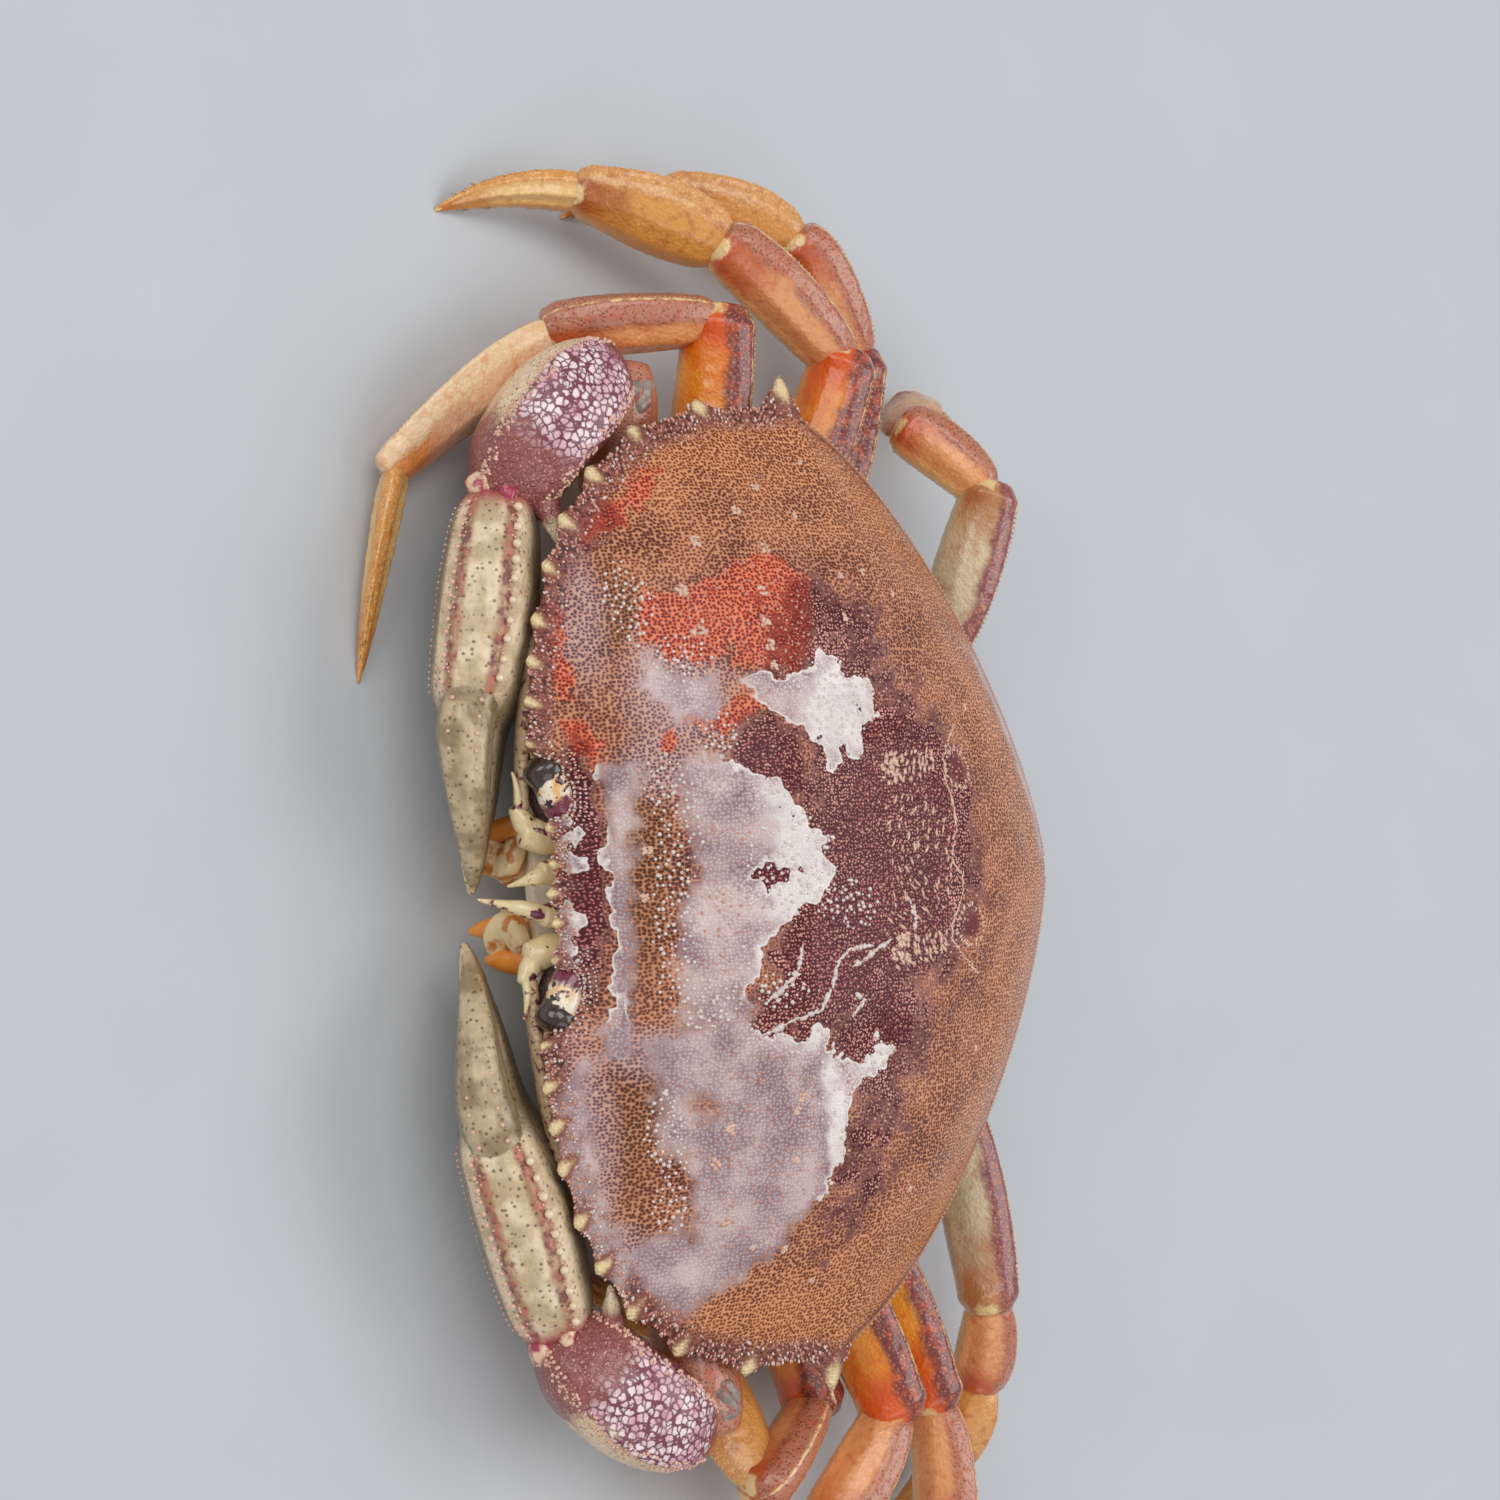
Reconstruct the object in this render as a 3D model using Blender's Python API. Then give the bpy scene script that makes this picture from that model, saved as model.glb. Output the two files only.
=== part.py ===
"""Dungeness crab, an adult male resting on its belly with claws folded, life size.

Lengths are in millimetres while the pieces are shaped; the last step brings
every mesh to metres. X points to the crab's left, Y to its back, Z up, and the
floor is at Z 0. The origin ends up under the middle of the whole crab.
"""

import math

import bmesh
import bpy
from mathutils import Matrix, Vector

# Driving sizes, in millimetres
SHELL_HALF_WIDTH = 80.5
SHELL_FRONT = 55.2
SHELL_BACK = 54.0
MARGIN_HEIGHT = 27.5
DOME_HEIGHT = 23.5
FRONT_SQUARENESS = 2.8
BACK_SQUARENESS = 1.45
SHELL_FLOOR = 19.5
GAP = 0.3
METRES = 0.001

# The front edge between the eyes, and the two orbits
BROW_HALF_WIDTH = 12.0
BROW_RECESS = 4.7
ORBIT_PLACE = 17.3
ORBIT_HALF_WIDTH = 5.0
ORBIT_DEPTH = 7.0

# Where the regions of the shell swell or sink: place, spread and height
LOBES = (
    (16.0, -20.0, 13.0, 1.6),
    (47.0, -14.0, 15.0, 1.2),
    (46.0, 12.0, 17.0, 1.6),
    (9.0, 20.0, 10.0, 1.3),
    (31.0, -2.0, 9.0, -1.4),
    (37.0, -34.0, 9.0, -1.2),
    (24.0, 22.0, 8.0, -1.0),
)

SHELL_SIDES = 80
DENSER_FRONT = 0.45


def clear_scene():
    for item in list(bpy.data.objects):
        bpy.data.objects.remove(item)


def new_collection(name, shown=True):
    collection = bpy.data.collections.new(name)
    bpy.context.scene.collection.children.link(collection)
    collection.hide_render = not shown
    return collection


def shell_material(name, colour, roughness):
    made = bpy.data.materials.new(name)
    made.use_nodes = True
    shader = made.node_tree.nodes["Principled BSDF"]
    shader.inputs["Base Color"].default_value = (*colour, 1.0)
    shader.inputs["Roughness"].default_value = roughness
    shader.inputs["Metallic"].default_value = 0.0
    return made


def object_from(bm, name, collection):
    bmesh.ops.recalc_face_normals(bm, faces=bm.faces)
    mesh = bpy.data.meshes.new(name)
    bm.to_mesh(mesh)
    bm.free()
    item = bpy.data.objects.new(name, mesh)
    collection.objects.link(item)
    return item


def loft(name, rings, collection):
    """A closed body through rings of points, each ring with as many points."""
    bm = bmesh.new()
    loops = [[bm.verts.new(point) for point in ring] for ring in rings]
    count = len(rings[0])
    for low, high in zip(loops, loops[1:]):
        for k in range(count):
            after = (k + 1) % count
            bm.faces.new((low[k], low[after], high[after], high[k]))
    bm.faces.new(loops[0][::-1])
    bm.faces.new(loops[-1])
    return object_from(bm, name, collection)


def section(centre, across, up, half_width, half_height, sides, squareness=2.2):
    """A ring of points round a limb, a circle pressed towards a rectangle."""
    ring = []
    for k in range(sides):
        angle = math.tau * (k + 0.5) / sides
        c, s = math.cos(angle), math.sin(angle)
        wide = math.copysign(abs(c) ** (2 / squareness), c) * half_width
        high = math.copysign(abs(s) ** (2 / squareness), s) * half_height
        ring.append(centre + across * wide + up * high)
    return ring


def limb(name, start, end, stations, collection, dorsal=(0, 0, 1), bow=0.0, sides=10,
         grow=0.0, scale=1.0, squareness=2.2):
    """A tapered segment from start to end through (share, half width, half height)."""
    start, end = Vector(start), Vector(end)
    axis = (end - start).normalized()
    length = (end - start).length
    up = Vector(dorsal)
    up = (up - axis * up.dot(axis)).normalized()
    across = axis.cross(up)
    rings = []
    last = len(stations) - 1
    for k, (share, half_width, half_height) in enumerate(stations):
        along = share * length + (grow if k == last else -grow if k == 0 else 0.0)
        centre = start + axis * along + up * (bow * 4 * share * (1 - share))
        rings.append(section(centre, across, up, half_width * scale + grow,
                             half_height * scale + grow, sides, squareness))
    return loft(name, rings, collection)


def spike(name, root, direction, length, radius, collection, flat=1.0, sides=6, tip=0.12):
    """A tooth or tubercle that tapers from root along direction."""
    bm = bmesh.new()
    bmesh.ops.create_cone(bm, cap_ends=True, segments=sides, radius1=radius,
                          radius2=radius * tip, depth=length)
    bmesh.ops.translate(bm, verts=bm.verts, vec=(0, 0, length / 2))
    turn = Vector(direction).to_track_quat("Z", "Y").to_matrix()
    bmesh.ops.rotate(bm, verts=bm.verts, cent=(0, 0, 0), matrix=turn)
    bmesh.ops.scale(bm, verts=bm.verts, vec=(1, 1, flat))
    bmesh.ops.translate(bm, verts=bm.verts, vec=Vector(root))
    return object_from(bm, name, collection)


def keep_largest(item):
    """Keeps the largest closed surface of a mesh and drops scraps."""
    bm = bmesh.new()
    bm.from_mesh(item.data)
    bm.faces.ensure_lookup_table()
    unseen = set(bm.faces)
    groups = []
    while unseen:
        group, stack = [], [unseen.pop()]
        while stack:
            face = stack.pop()
            group.append(face)
            for edge in face.edges:
                for other in edge.link_faces:
                    if other in unseen:
                        unseen.discard(other)
                        stack.append(other)
        groups.append(group)
    groups.sort(key=lambda g: sum(face.calc_area() for face in g), reverse=True)
    scraps = [face for group in groups[1:] for face in group]
    if scraps:
        bmesh.ops.delete(bm, geom=scraps, context="FACES")
        loose = [vert for vert in bm.verts if not vert.link_faces]
        bmesh.ops.delete(bm, geom=loose, context="VERTS")
    bm.to_mesh(item.data)
    bm.free()


def combine(item, others, operation):
    """Applies one Boolean with a collection of closed meshes, then removes them."""
    if not others:
        return item
    tools = new_collection("tools", shown=False)
    for other in others:
        for home in list(other.users_collection):
            home.objects.unlink(other)
        tools.objects.link(other)
    boolean = item.modifiers.new("join", "BOOLEAN")
    boolean.operation = operation
    boolean.operand_type = "COLLECTION"
    boolean.collection = tools
    boolean.solver = "EXACT"
    graph = bpy.context.evaluated_depsgraph_get()
    mesh = bpy.data.meshes.new_from_object(item.evaluated_get(graph))
    item.modifiers.clear()
    item.data = mesh
    for other in others:
        bpy.data.objects.remove(other)
    bpy.data.collections.remove(tools)
    keep_largest(item)
    return item


def fuse(item, others):
    return combine(item, others, "UNION")


def cut(item, others):
    return combine(item, others, "DIFFERENCE")


def rest_on_floor(item):
    """Trims what would reach under the floor to a small flat."""
    if min(vert.co.z for vert in item.data.vertices) >= 0.0:
        return
    bm = bmesh.new()
    bm.from_mesh(item.data)
    geometry = bm.verts[:] + bm.edges[:] + bm.faces[:]
    made = bmesh.ops.bisect_plane(bm, geom=geometry, plane_co=(0, 0, 0),
                                  plane_no=(0, 0, -1), clear_outer=True)
    rim = [part for part in made["geom_cut"] if isinstance(part, bmesh.types.BMEdge)]
    bmesh.ops.holes_fill(bm, edges=rim, sides=0)
    bmesh.ops.recalc_face_normals(bm, faces=bm.faces)
    bm.to_mesh(item.data)
    bm.free()


# The carapace: one domed shell with a toothed front edge


def oval(angle, half_width, front, back, front_squareness, back_squareness):
    """Distance from the middle to a rounded outline at an angle, Y positive at the back."""
    c, s = abs(math.cos(angle)), math.sin(angle)
    reach, power = (back, back_squareness) if s > 0 else (front, front_squareness)
    return ((c / half_width) ** power + (abs(s) / reach) ** power) ** (-1 / power)


def shell_outline(angle):
    return oval(angle, SHELL_HALF_WIDTH, SHELL_FRONT, SHELL_BACK,
                FRONT_SQUARENESS, BACK_SQUARENESS)


def brow_recess(angle):
    """How far the edge draws in between the eyes and at each orbit."""
    if math.sin(angle) > 0:
        return 0.0
    x = abs(shell_outline(angle) * math.cos(angle))
    brow = BROW_RECESS / (1 + math.exp((x - BROW_HALF_WIDTH) / 0.8))
    orbit = ORBIT_DEPTH * math.exp(-((x - ORBIT_PLACE) / ORBIT_HALF_WIDTH) ** 4)
    return brow + orbit


def margin_height(angle):
    front = max(0.0, -math.sin(angle))
    back = max(0.0, math.sin(angle))
    return MARGIN_HEIGHT + 2.0 * front ** 2 + 0.5 * back ** 2


def lobe_height(x, y):
    return sum(height * math.exp(-((abs(x) - place_x) ** 2 + (y - place_y) ** 2) / spread ** 2)
               for place_x, place_y, spread, height in LOBES)


def dome_point(angle, share):
    """A point of the upper surface, share 0 at the crown and 1 at the edge."""
    reach = shell_outline(angle) - brow_recess(angle) * share ** 8
    x = reach * share * math.cos(angle)
    y = reach * share * math.sin(angle)
    front = max(0.0, -math.sin(angle))
    power = 2.6 - 0.4 * front
    edge = MARGIN_HEIGHT + (margin_height(angle) - MARGIN_HEIGHT) * share ** 2
    z = edge + DOME_HEIGHT * (1 - share ** power) + lobe_height(x, y) * (1 - share ** 6)
    return Vector((x, y, z))


def shell_angles():
    """Angles round the shell, closer together at the front."""
    angles = []
    for k in range(SHELL_SIDES):
        even = math.tau * k / SHELL_SIDES
        angles.append(even - DENSER_FRONT * math.cos(even))
    return angles


def carapace(collection):
    shares = (0.04, 0.16, 0.3, 0.43, 0.56, 0.68, 0.79, 0.88, 0.95, 1.0)
    under = ((0.985, 0.99, 1.5), (0.91, 0.968, 3.1), (0.79, 0.942, 5.3))
    angles = shell_angles()
    rings = [[dome_point(angle, share) for angle in angles] for share in shares]
    for wide, deep, drop in under:
        ring = []
        for angle in angles:
            edge = dome_point(angle, 1.0)
            ring.append(Vector((edge.x * wide, edge.y * deep, edge.z - drop)))
        rings.append(ring)
    foot = [dome_point(angle, 1.0) for angle in angles]
    rings.append([Vector((edge.x * 0.67, edge.y * 0.905, SHELL_FLOOR)) for edge in foot])
    shell = loft("carapace", rings, collection)
    return fuse(shell, shell_teeth(collection))


def shell_teeth(collection):
    """Ten teeth along each side of the front, the last the largest, and five on the brow."""
    side_teeth = ((23.6, 2.4), (30.6, 2.6), (37.0, 2.8), (43.6, 3.0), (52.2, 3.2),
                  (59.8, 3.2), (67.6, 3.4), (74.6, 3.5), (79.4, 3.6))
    teeth = []
    for side in (-1, 1):
        for x, size in side_teeth:
            y = -SHELL_FRONT * (1 - (x / SHELL_HALF_WIDTH) ** FRONT_SQUARENESS) ** (1 / FRONT_SQUARENESS)
            outward = Vector((side * (x / SHELL_HALF_WIDTH) ** 1.8, y / SHELL_FRONT * 1.0, 0.05))
            outward = (outward + Vector((0, -0.35, 0))).normalized()
            angle = math.atan2(y, x)
            root = Vector((side * x, y, margin_height(angle) - 0.5)) - outward * 4.0
            teeth.append(spike("tooth", root, outward, size + 3.4, size, collection, flat=0.6, sides=6))
        corner = Vector((side * 76.5, 0.6, MARGIN_HEIGHT - 0.3))
        teeth.append(spike("tooth", corner, (side, -0.14, 0.06), 10.5, 6.0, collection, flat=0.5, sides=8))
        for x, reach in ((4.6, 2.8), (10.4, 3.2)):
            root = Vector((side * x, -47.2, 28.8))
            teeth.append(spike("tooth", root, (side * 0.12, -1, 0), reach + 3.0, 2.3, collection, flat=0.6))
    teeth.append(spike("tooth", (0, -47.0, 28.8), (0, -1, -0.04), 7.2, 2.6, collection, flat=0.6))
    return teeth


# The underside: the breastplate that carries the limbs, and the folded tail


def thorax(collection):
    rows = ((19.2, 54.0, 49.0, 46.5), (15.0, 51.0, 48.0, 45.5), (9.0, 46.0, 43.5, 43.0),
            (4.5, 39.0, 37.0, 39.0), (1.4, 31.0, 29.0, 32.5), (0.0, 25.0, 23.0, 27.0))
    sides = 40
    rings = []
    for height, half_width, front, back in rows:
        ring = []
        for k in range(sides):
            angle = math.tau * k / sides
            reach = oval(angle, half_width, front, back, 2.3, 2.0)
            ring.append(Vector((reach * math.cos(angle), reach * math.sin(angle), height)))
        rings.append(ring)
    return loft("thorax", rings, collection)


def abdomen(collection, grow=0.0):
    """The narrow tail of a male, bent round the back end and laid forward under the body."""
    path = ((50.6, 22.2, 13.6, 1.3), (50.8, 18.6, 15.0, 1.6), (50.2, 14.0, 14.6, 1.7),
            (48.2, 9.2, 14.2, 1.7), (44.8, 5.0, 13.4, 1.6), (39.6, 2.2, 12.3, 1.5),
            (31.0, 1.2, 10.8, 1.2), (22.0, 1.0, 8.8, 1.1), (12.0, 1.0, 7.0, 1.1),
            (3.0, 1.0, 5.6, 1.1), (-2.5, 1.0, 4.0, 1.1), (-6.0, 1.0, 1.4, 1.1))
    points = [Vector((0, y, z)) for y, z, _, _ in path]
    rings = []
    for k, (point, (_, _, half_width, half_thick)) in enumerate(zip(points, path)):
        before, after = points[max(k - 1, 0)], points[min(k + 1, len(points) - 1)]
        axis = (after - before).normalized()
        out = Vector((1, 0, 0)).cross(axis)
        end = axis * (grow * (1 if k == len(points) - 1 else -1 if k == 0 else 0))
        rings.append(section(point + end, Vector((1, 0, 0)), out, half_width + grow,
                             half_thick + grow, 10, 2.7))
    return loft("abdomen", rings, collection)


# The face: eyes, feelers and the plates over the mouth


def eye(side, name, collection, grow=0.0):
    stations = ((0, 1.9, 1.9), (0.35, 2.1, 2.2), (0.55, 2.9, 3.0), (0.75, 3.1, 3.2),
                (0.92, 2.4, 2.5), (1.0, 1.2, 1.2))
    return limb(name, (side * 11.6, -46.4, 27.6), (side * 24.4, -51.8, 27.2), stations,
                collection, sides=12, grow=grow, squareness=2.0)


def antenna(side, name, collection, grow=0.0):
    """A stout base article and a short whip that points outward."""
    base = limb(name, (side * 9.0, -45.0, 22.6), (side * 9.8, -52.6, 22.2),
                ((0, 2.6, 2.4), (0.5, 3.1, 2.6), (1, 2.2, 1.9)), collection, sides=8, grow=grow)
    if grow:
        return base
    knob = limb("knob", (side * 9.6, -50.8, 22.2), (side * 14.0, -53.8, 22.4),
                ((0, 1.6, 1.6), (0.5, 1.8, 1.8), (1, 1.1, 1.1)), collection, sides=8)
    whip = limb("whip", (side * 13.2, -53.3, 22.4), (side * 19.5, -54.6, 23.6),
                ((0, 0.9, 0.9), (0.5, 0.6, 0.6), (1, 0.28, 0.28)), collection, bow=0.8, sides=6)
    return fuse(base, [knob, whip])


def antennule(side, name, collection, grow=0.0):
    """The small folded feeler beside the middle line."""
    base = limb(name, (side * 3.5, -44.0, 23.8), (side * 3.4, -50.6, 24.2),
                ((0, 2.0, 1.8), (0.5, 2.4, 2.1), (1, 1.8, 1.6)), collection, sides=8, grow=grow)
    if grow:
        return base
    tip = (-1.6, -55.0, 21.6) if side < 0 else (0.4, -60.0, 20.4)
    arm_part = limb("arm", (side * 3.4, -49.4, 24.2), tip,
                    ((0, 1.5, 1.5), (0.45, 1.3, 1.3), (0.7, 0.75, 0.75), (1, 0.3, 0.3)),
                    collection, bow=0.9, sides=8)
    return fuse(base, [arm_part])


def maxilliped(side, name, collection, grow=0.0):
    """The outer mouth plate with its short feeding palp."""
    rows = ((-35.0, 3.4, 7.4, 5.2, 1.8), (-41.6, 5.4, 7.9, 6.2, 2.2), (-47.6, 9.2, 8.4, 6.6, 2.3),
            (-49.6, 13.4, 8.6, 6.6, 2.2), (-48.8, 17.0, 8.4, 5.4, 1.7))
    points = [Vector((side * x, y, z)) for y, z, x, _, _ in rows]
    rings = []
    for k, (point, (_, _, _, half_width, half_thick)) in enumerate(zip(points, rows)):
        before, after = points[max(k - 1, 0)], points[min(k + 1, len(points) - 1)]
        axis = (after - before).normalized()
        out = Vector((1, 0, 0)).cross(axis).normalized()
        end = axis * (grow * (1 if k == len(points) - 1 else -1 if k == 0 else 0))
        rings.append(section(point + end, Vector((1, 0, 0)), out, half_width + grow,
                             half_thick + grow, 10, 3.0))
    plate = loft(name, rings, collection)
    if grow:
        return plate
    palp = limb("palp", (side * 4.6, -49.4, 15.2), (side * 6.0, -53.2, 7.0),
                ((0, 1.6, 1.4), (0.3, 2.0, 1.6), (0.75, 1.6, 1.3), (1, 0.7, 0.6)),
                collection, dorsal=(0, -1, 0), sides=8)
    return fuse(plate, [palp])


# The eight walking legs

HIP = ((0, 4.0, 4.4), (0.25, 4.6, 5.4), (0.8, 4.3, 5.4), (1.0, 3.4, 4.2))
MERUS = ((0, 2.8, 3.6), (0.1, 4.0, 5.6), (0.4, 4.5, 6.8), (0.75, 4.6, 6.7), (0.94, 4.8, 5.9), (1.0, 4.0, 4.7))
CARPUS = ((0, 2.3, 3.0), (0.12, 3.6, 4.8), (0.45, 4.2, 5.8), (0.85, 4.3, 5.8), (1.0, 3.4, 4.5))
PROPODUS = ((0, 2.1, 3.0), (0.14, 3.0, 5.2), (0.42, 3.4, 6.2), (0.82, 3.0, 5.2), (1.0, 2.4, 3.9))
DACTYL = ((0, 1.7, 2.5), (0.12, 2.2, 3.4), (0.4, 1.9, 3.0), (0.7, 1.35, 2.1), (0.9, 0.8, 1.1), (1.0, 0.4, 0.45))
JOINT_REACH = 2.2

# Each leg's girth, then the places where it leaves the body, its joints and its tip
LEGS = {
    "right_leg_1": (1.0, (-39, -13, 11), (-53.7, -11.6, 13.6), (-96.5, -7.5, 21), (-94.5, -34.5, 12),
                    (-72, -62.5, 5), (-36.5, -69, 0.2)),
    "right_leg_2": (1.0, (-41, -1, 11), (-54.7, 4.5, 13.8), (-90.5, 19, 21), (-109.5, -3.4, 20),
                    (-118.6, -26.9, 12), (-116.4, -50, 0.2)),
    "right_leg_3": (0.94, (-39.5, 11, 11), (-53.7, 15.8, 11.3), (-93, 29, 12), (-112.5, 15, 16),
                    (-121, -6, 8), (-117.5, -25, 0.2)),
    "right_leg_4": (0.86, (-27, 29, 12), (-37, 39.5, 16), (-68, 48, 25), (-80, 36, 18),
                    (-87, 45, 6), (-80, 61, 0.2)),
    "left_leg_1": (1.0, (39, -13, 11), (52.7, -7.5, 11), (91, 8, 11), (102, -9.5, 19.5),
                   (77, -13, 5.6), (63, -35, 0.2)),
    "left_leg_2": (1.0, (41, -1, 11), (54.8, 4.1, 13.7), (92.5, 18, 21), (112, 2, 20),
                   (123, -22, 11), (119, -46, 0.2)),
    "left_leg_3": (0.94, (39.5, 11, 11), (53.6, 15.5, 13.0), (93, 29.5, 17.5), (117, 29.5, 19),
                   (136, 20, 9), (142, -1, 0.2)),
    "left_leg_4": (0.86, (27, 29, 12), (38, 38, 16), (77, 41, 21), (92, 44, 13),
                   (109, 39, 6), (121, 22, 0.2)),
}

# Which way the upper edge of each leg leans, for its upper arm and for its outer segments
LEANS = {
    "right_leg_1": ((0, 0.5, 0.87), (-0.75, -0.2, 0.62)),
    "right_leg_2": ((0, 0.5, 0.87), (-0.8, 0.1, 0.6)),
    "right_leg_3": ((0, 0.5, 0.87), (-0.8, 0.1, 0.6)),
    "right_leg_4": ((0, 0.6, 0.8), (-0.3, 0.75, 0.6)),
    "left_leg_1": ((0, 0, 1), (0.4, -0.9, 0.2)),
    "left_leg_2": ((0, 0.5, 0.87), (0.8, 0.1, 0.6)),
    "left_leg_3": ((0, 0.5, 0.87), (0.8, 0.3, 0.6)),
    "left_leg_4": ((0, 0.6, 0.8), (0.3, 0.75, 0.6)),
}


def leg_segment(name, place, collection, grow=0.0):
    """One segment of a leg, counted from the body; it reaches a little into the next."""
    label, stations, bow = (("hip", HIP, 0.0), ("merus", MERUS, 0.6), ("carpus", CARPUS, 0.8),
                            ("propodus", PROPODUS, 0.8), ("dactyl", DACTYL, 2.0))[place]
    girth, *places = LEGS[name]
    upper, outer = (Vector(lean) for lean in LEANS[name])
    dorsal = (upper, upper, upper + outer, outer, outer)[place]
    low, high = Vector(places[place]), Vector(places[place + 1])
    if place < 4:
        high += (high - low).normalized() * JOINT_REACH * girth
    return limb(f"{name}_{label}", low, high, stations, collection, dorsal=dorsal, bow=bow,
                scale=girth, grow=grow, sides=8 if place == 4 else 10)


def walking_leg(name, collection):
    """The five segments of a leg, each cut clear of the one that grows from it."""
    segments = [leg_segment(name, place, collection) for place in range(5)]
    for place in range(4):
        cut(segments[place], [leg_segment(name, place + 1, collection, GAP)])
    return segments


# The two claws

ARM = ((0, 4.6, 5.4), (0.14, 5.8, 6.6), (0.4, 6.0, 6.8), (0.75, 6.4, 6.6), (0.92, 6.4, 6.2), (1.0, 5.0, 5.0))
WRIST = ((0, 3.6, 3.8), (0.12, 6.2, 6.8), (0.35, 8.8, 9.4), (0.62, 9.0, 10.0), (0.85, 8.2, 8.8), (1.0, 5.6, 6.2))

# Along the hand and its fixed finger: distance, top, bottom, half thickness, bend to the body
HAND = ((0, 5.4, -5.4, 4.0, 0), (4, 9.4, -8.8, 6.4, 0), (12, 12.6, -12.0, 7.6, 0),
        (22, 14.2, -13.6, 8.0, 0), (31, 14.0, -13.8, 7.6, -0.4), (36, 12.4, -13.4, 6.8, -0.8),
        (39.5, 3.4, -12.8, 5.4, -1.0), (45, 0.6, -11.6, 4.5, -0.6), (51, -0.8, -10.2, 3.6, 0.0),
        (57, -1.8, -8.2, 2.7, 0.4), (63, -2.8, -6.0, 1.7, 0.8), (65.5, -3.6, -4.8, 0.8, 0.9))
# Along the moving finger: distance, height, half height, half thickness, bend to the body
FINGER = ((33, 8.0, 3.4, 3.6, -0.6), (36, 9.0, 4.8, 4.6, -0.8), (42, 9.4, 4.6, 4.6, -1.0),
          (49, 8.0, 4.0, 3.8, -0.2), (55, 5.2, 3.2, 3.0, 0.7), (60, 1.9, 2.3, 2.1, 1.2),
          (64.5, -1.4, 1.1, 1.0, 1.4))

# Each claw's shoulder on the body, its elbow, where its hand starts, and where that points
CLAWS = {
    "right_claw": ((-33, -25, 11), (-85, -27, 18.5), (-66.5, -49.9, 16.4), (0.988, -0.15, -0.02)),
    "left_claw": ((33, -25, 11), (88, -21, 20.5), (72.5, -46.3, 16.4), (-0.973, -0.23, -0.02)),
}
HAND_TILT = math.radians(36)


def hand_frame(name):
    """The hand's start, the way it points, its height axis, and its side turned to the body."""
    _, _, start, way = CLAWS[name]
    axis = Vector(way).normalized()
    lean = Vector((0, -math.sin(HAND_TILT), math.cos(HAND_TILT)))
    up = (lean - axis * lean.dot(axis)).normalized()
    inner = axis.cross(up)
    return Vector(start), axis, up, inner if inner.y > 0 else -inner


def claw_loft(name, rows, frame, collection, grow, sides, squareness):
    """A hand or finger through rows of distance, height, half height, half thickness and bend."""
    start, axis, up, inner = frame
    points = [start + axis * along + up * height + inner * bend for along, height, _, _, bend in rows]
    rings = []
    last = len(rows) - 1
    for k, (point, (_, _, half_height, half_thick, _)) in enumerate(zip(points, rows)):
        way = (points[min(k + 1, last)] - points[max(k - 1, 0)]).normalized()
        across = way.cross(up).normalized()
        end = way * (grow if k == last else -grow if k == 0 else 0.0)
        rings.append(section(point + end, across, across.cross(way), half_thick + grow,
                             half_height + grow, sides, squareness))
    return loft(name, rings, collection)


def hand(name, collection, grow=0.0):
    rows = [(along, (top + bottom) / 2, (top - bottom) / 2, thick, bend)
            for along, top, bottom, thick, bend in HAND]
    return claw_loft(f"{name}_hand", rows, hand_frame(name), collection, grow, 14, 2.5)


def finger(name, collection, grow=0.0):
    return claw_loft(f"{name}_finger", FINGER, hand_frame(name), collection, grow, 12, 2.2)


def hand_spines(name, collection):
    """Two rows of tubercles along the top, and the raised lines of the outer face."""
    start, axis, up, inner = hand_frame(name)
    spines = []
    for row in (-1, 1):
        for k in range(6):
            top = 11.8 + 2.0 * math.sin(math.pi * (k + 1) / 8)
            root = start + axis * (7 + k * 5.2) + up * (top - 1.6) + inner * (row * 4.0)
            spines.append(spike("spine", root, up + inner * (row * 0.5), 3.4, 1.4, collection, sides=5))
    for level in (7.0, 2.3, -2.3, -7.0):
        low = start + axis * 8 + up * level * 0.8 - inner * 6.2
        high = start + axis * 35 + up * level - inner * 6.4
        spines.append(limb("line", low, high, ((0, 0.9, 0.5), (0.3, 1.8, 0.8), (0.7, 1.8, 0.8), (1, 0.8, 0.5)),
                           collection, dorsal=up, sides=6))
    return spines


def finger_spines(name, collection):
    start, axis, up, inner = hand_frame(name)
    spines = []
    for row in (-1, 1):
        for along, top, bend in ((38, 12.4, -0.9), (43, 12.8, -0.9), (48, 11.4, 0)):
            root = start + axis * along + up * (top - 1.4) + inner * (bend + row * 2.4)
            spines.append(spike("spine", root, up + inner * (row * 0.5), 3.0, 1.2, collection, sides=5))
    return spines


def arm(name, collection, grow=0.0):
    shoulder, elbow = (Vector(place) for place in CLAWS[name][:2])
    reach = (elbow - shoulder).normalized() * 3.0
    return limb(f"{name}_arm", shoulder, elbow + reach, ARM, collection, grow=grow, bow=-0.6)


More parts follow.
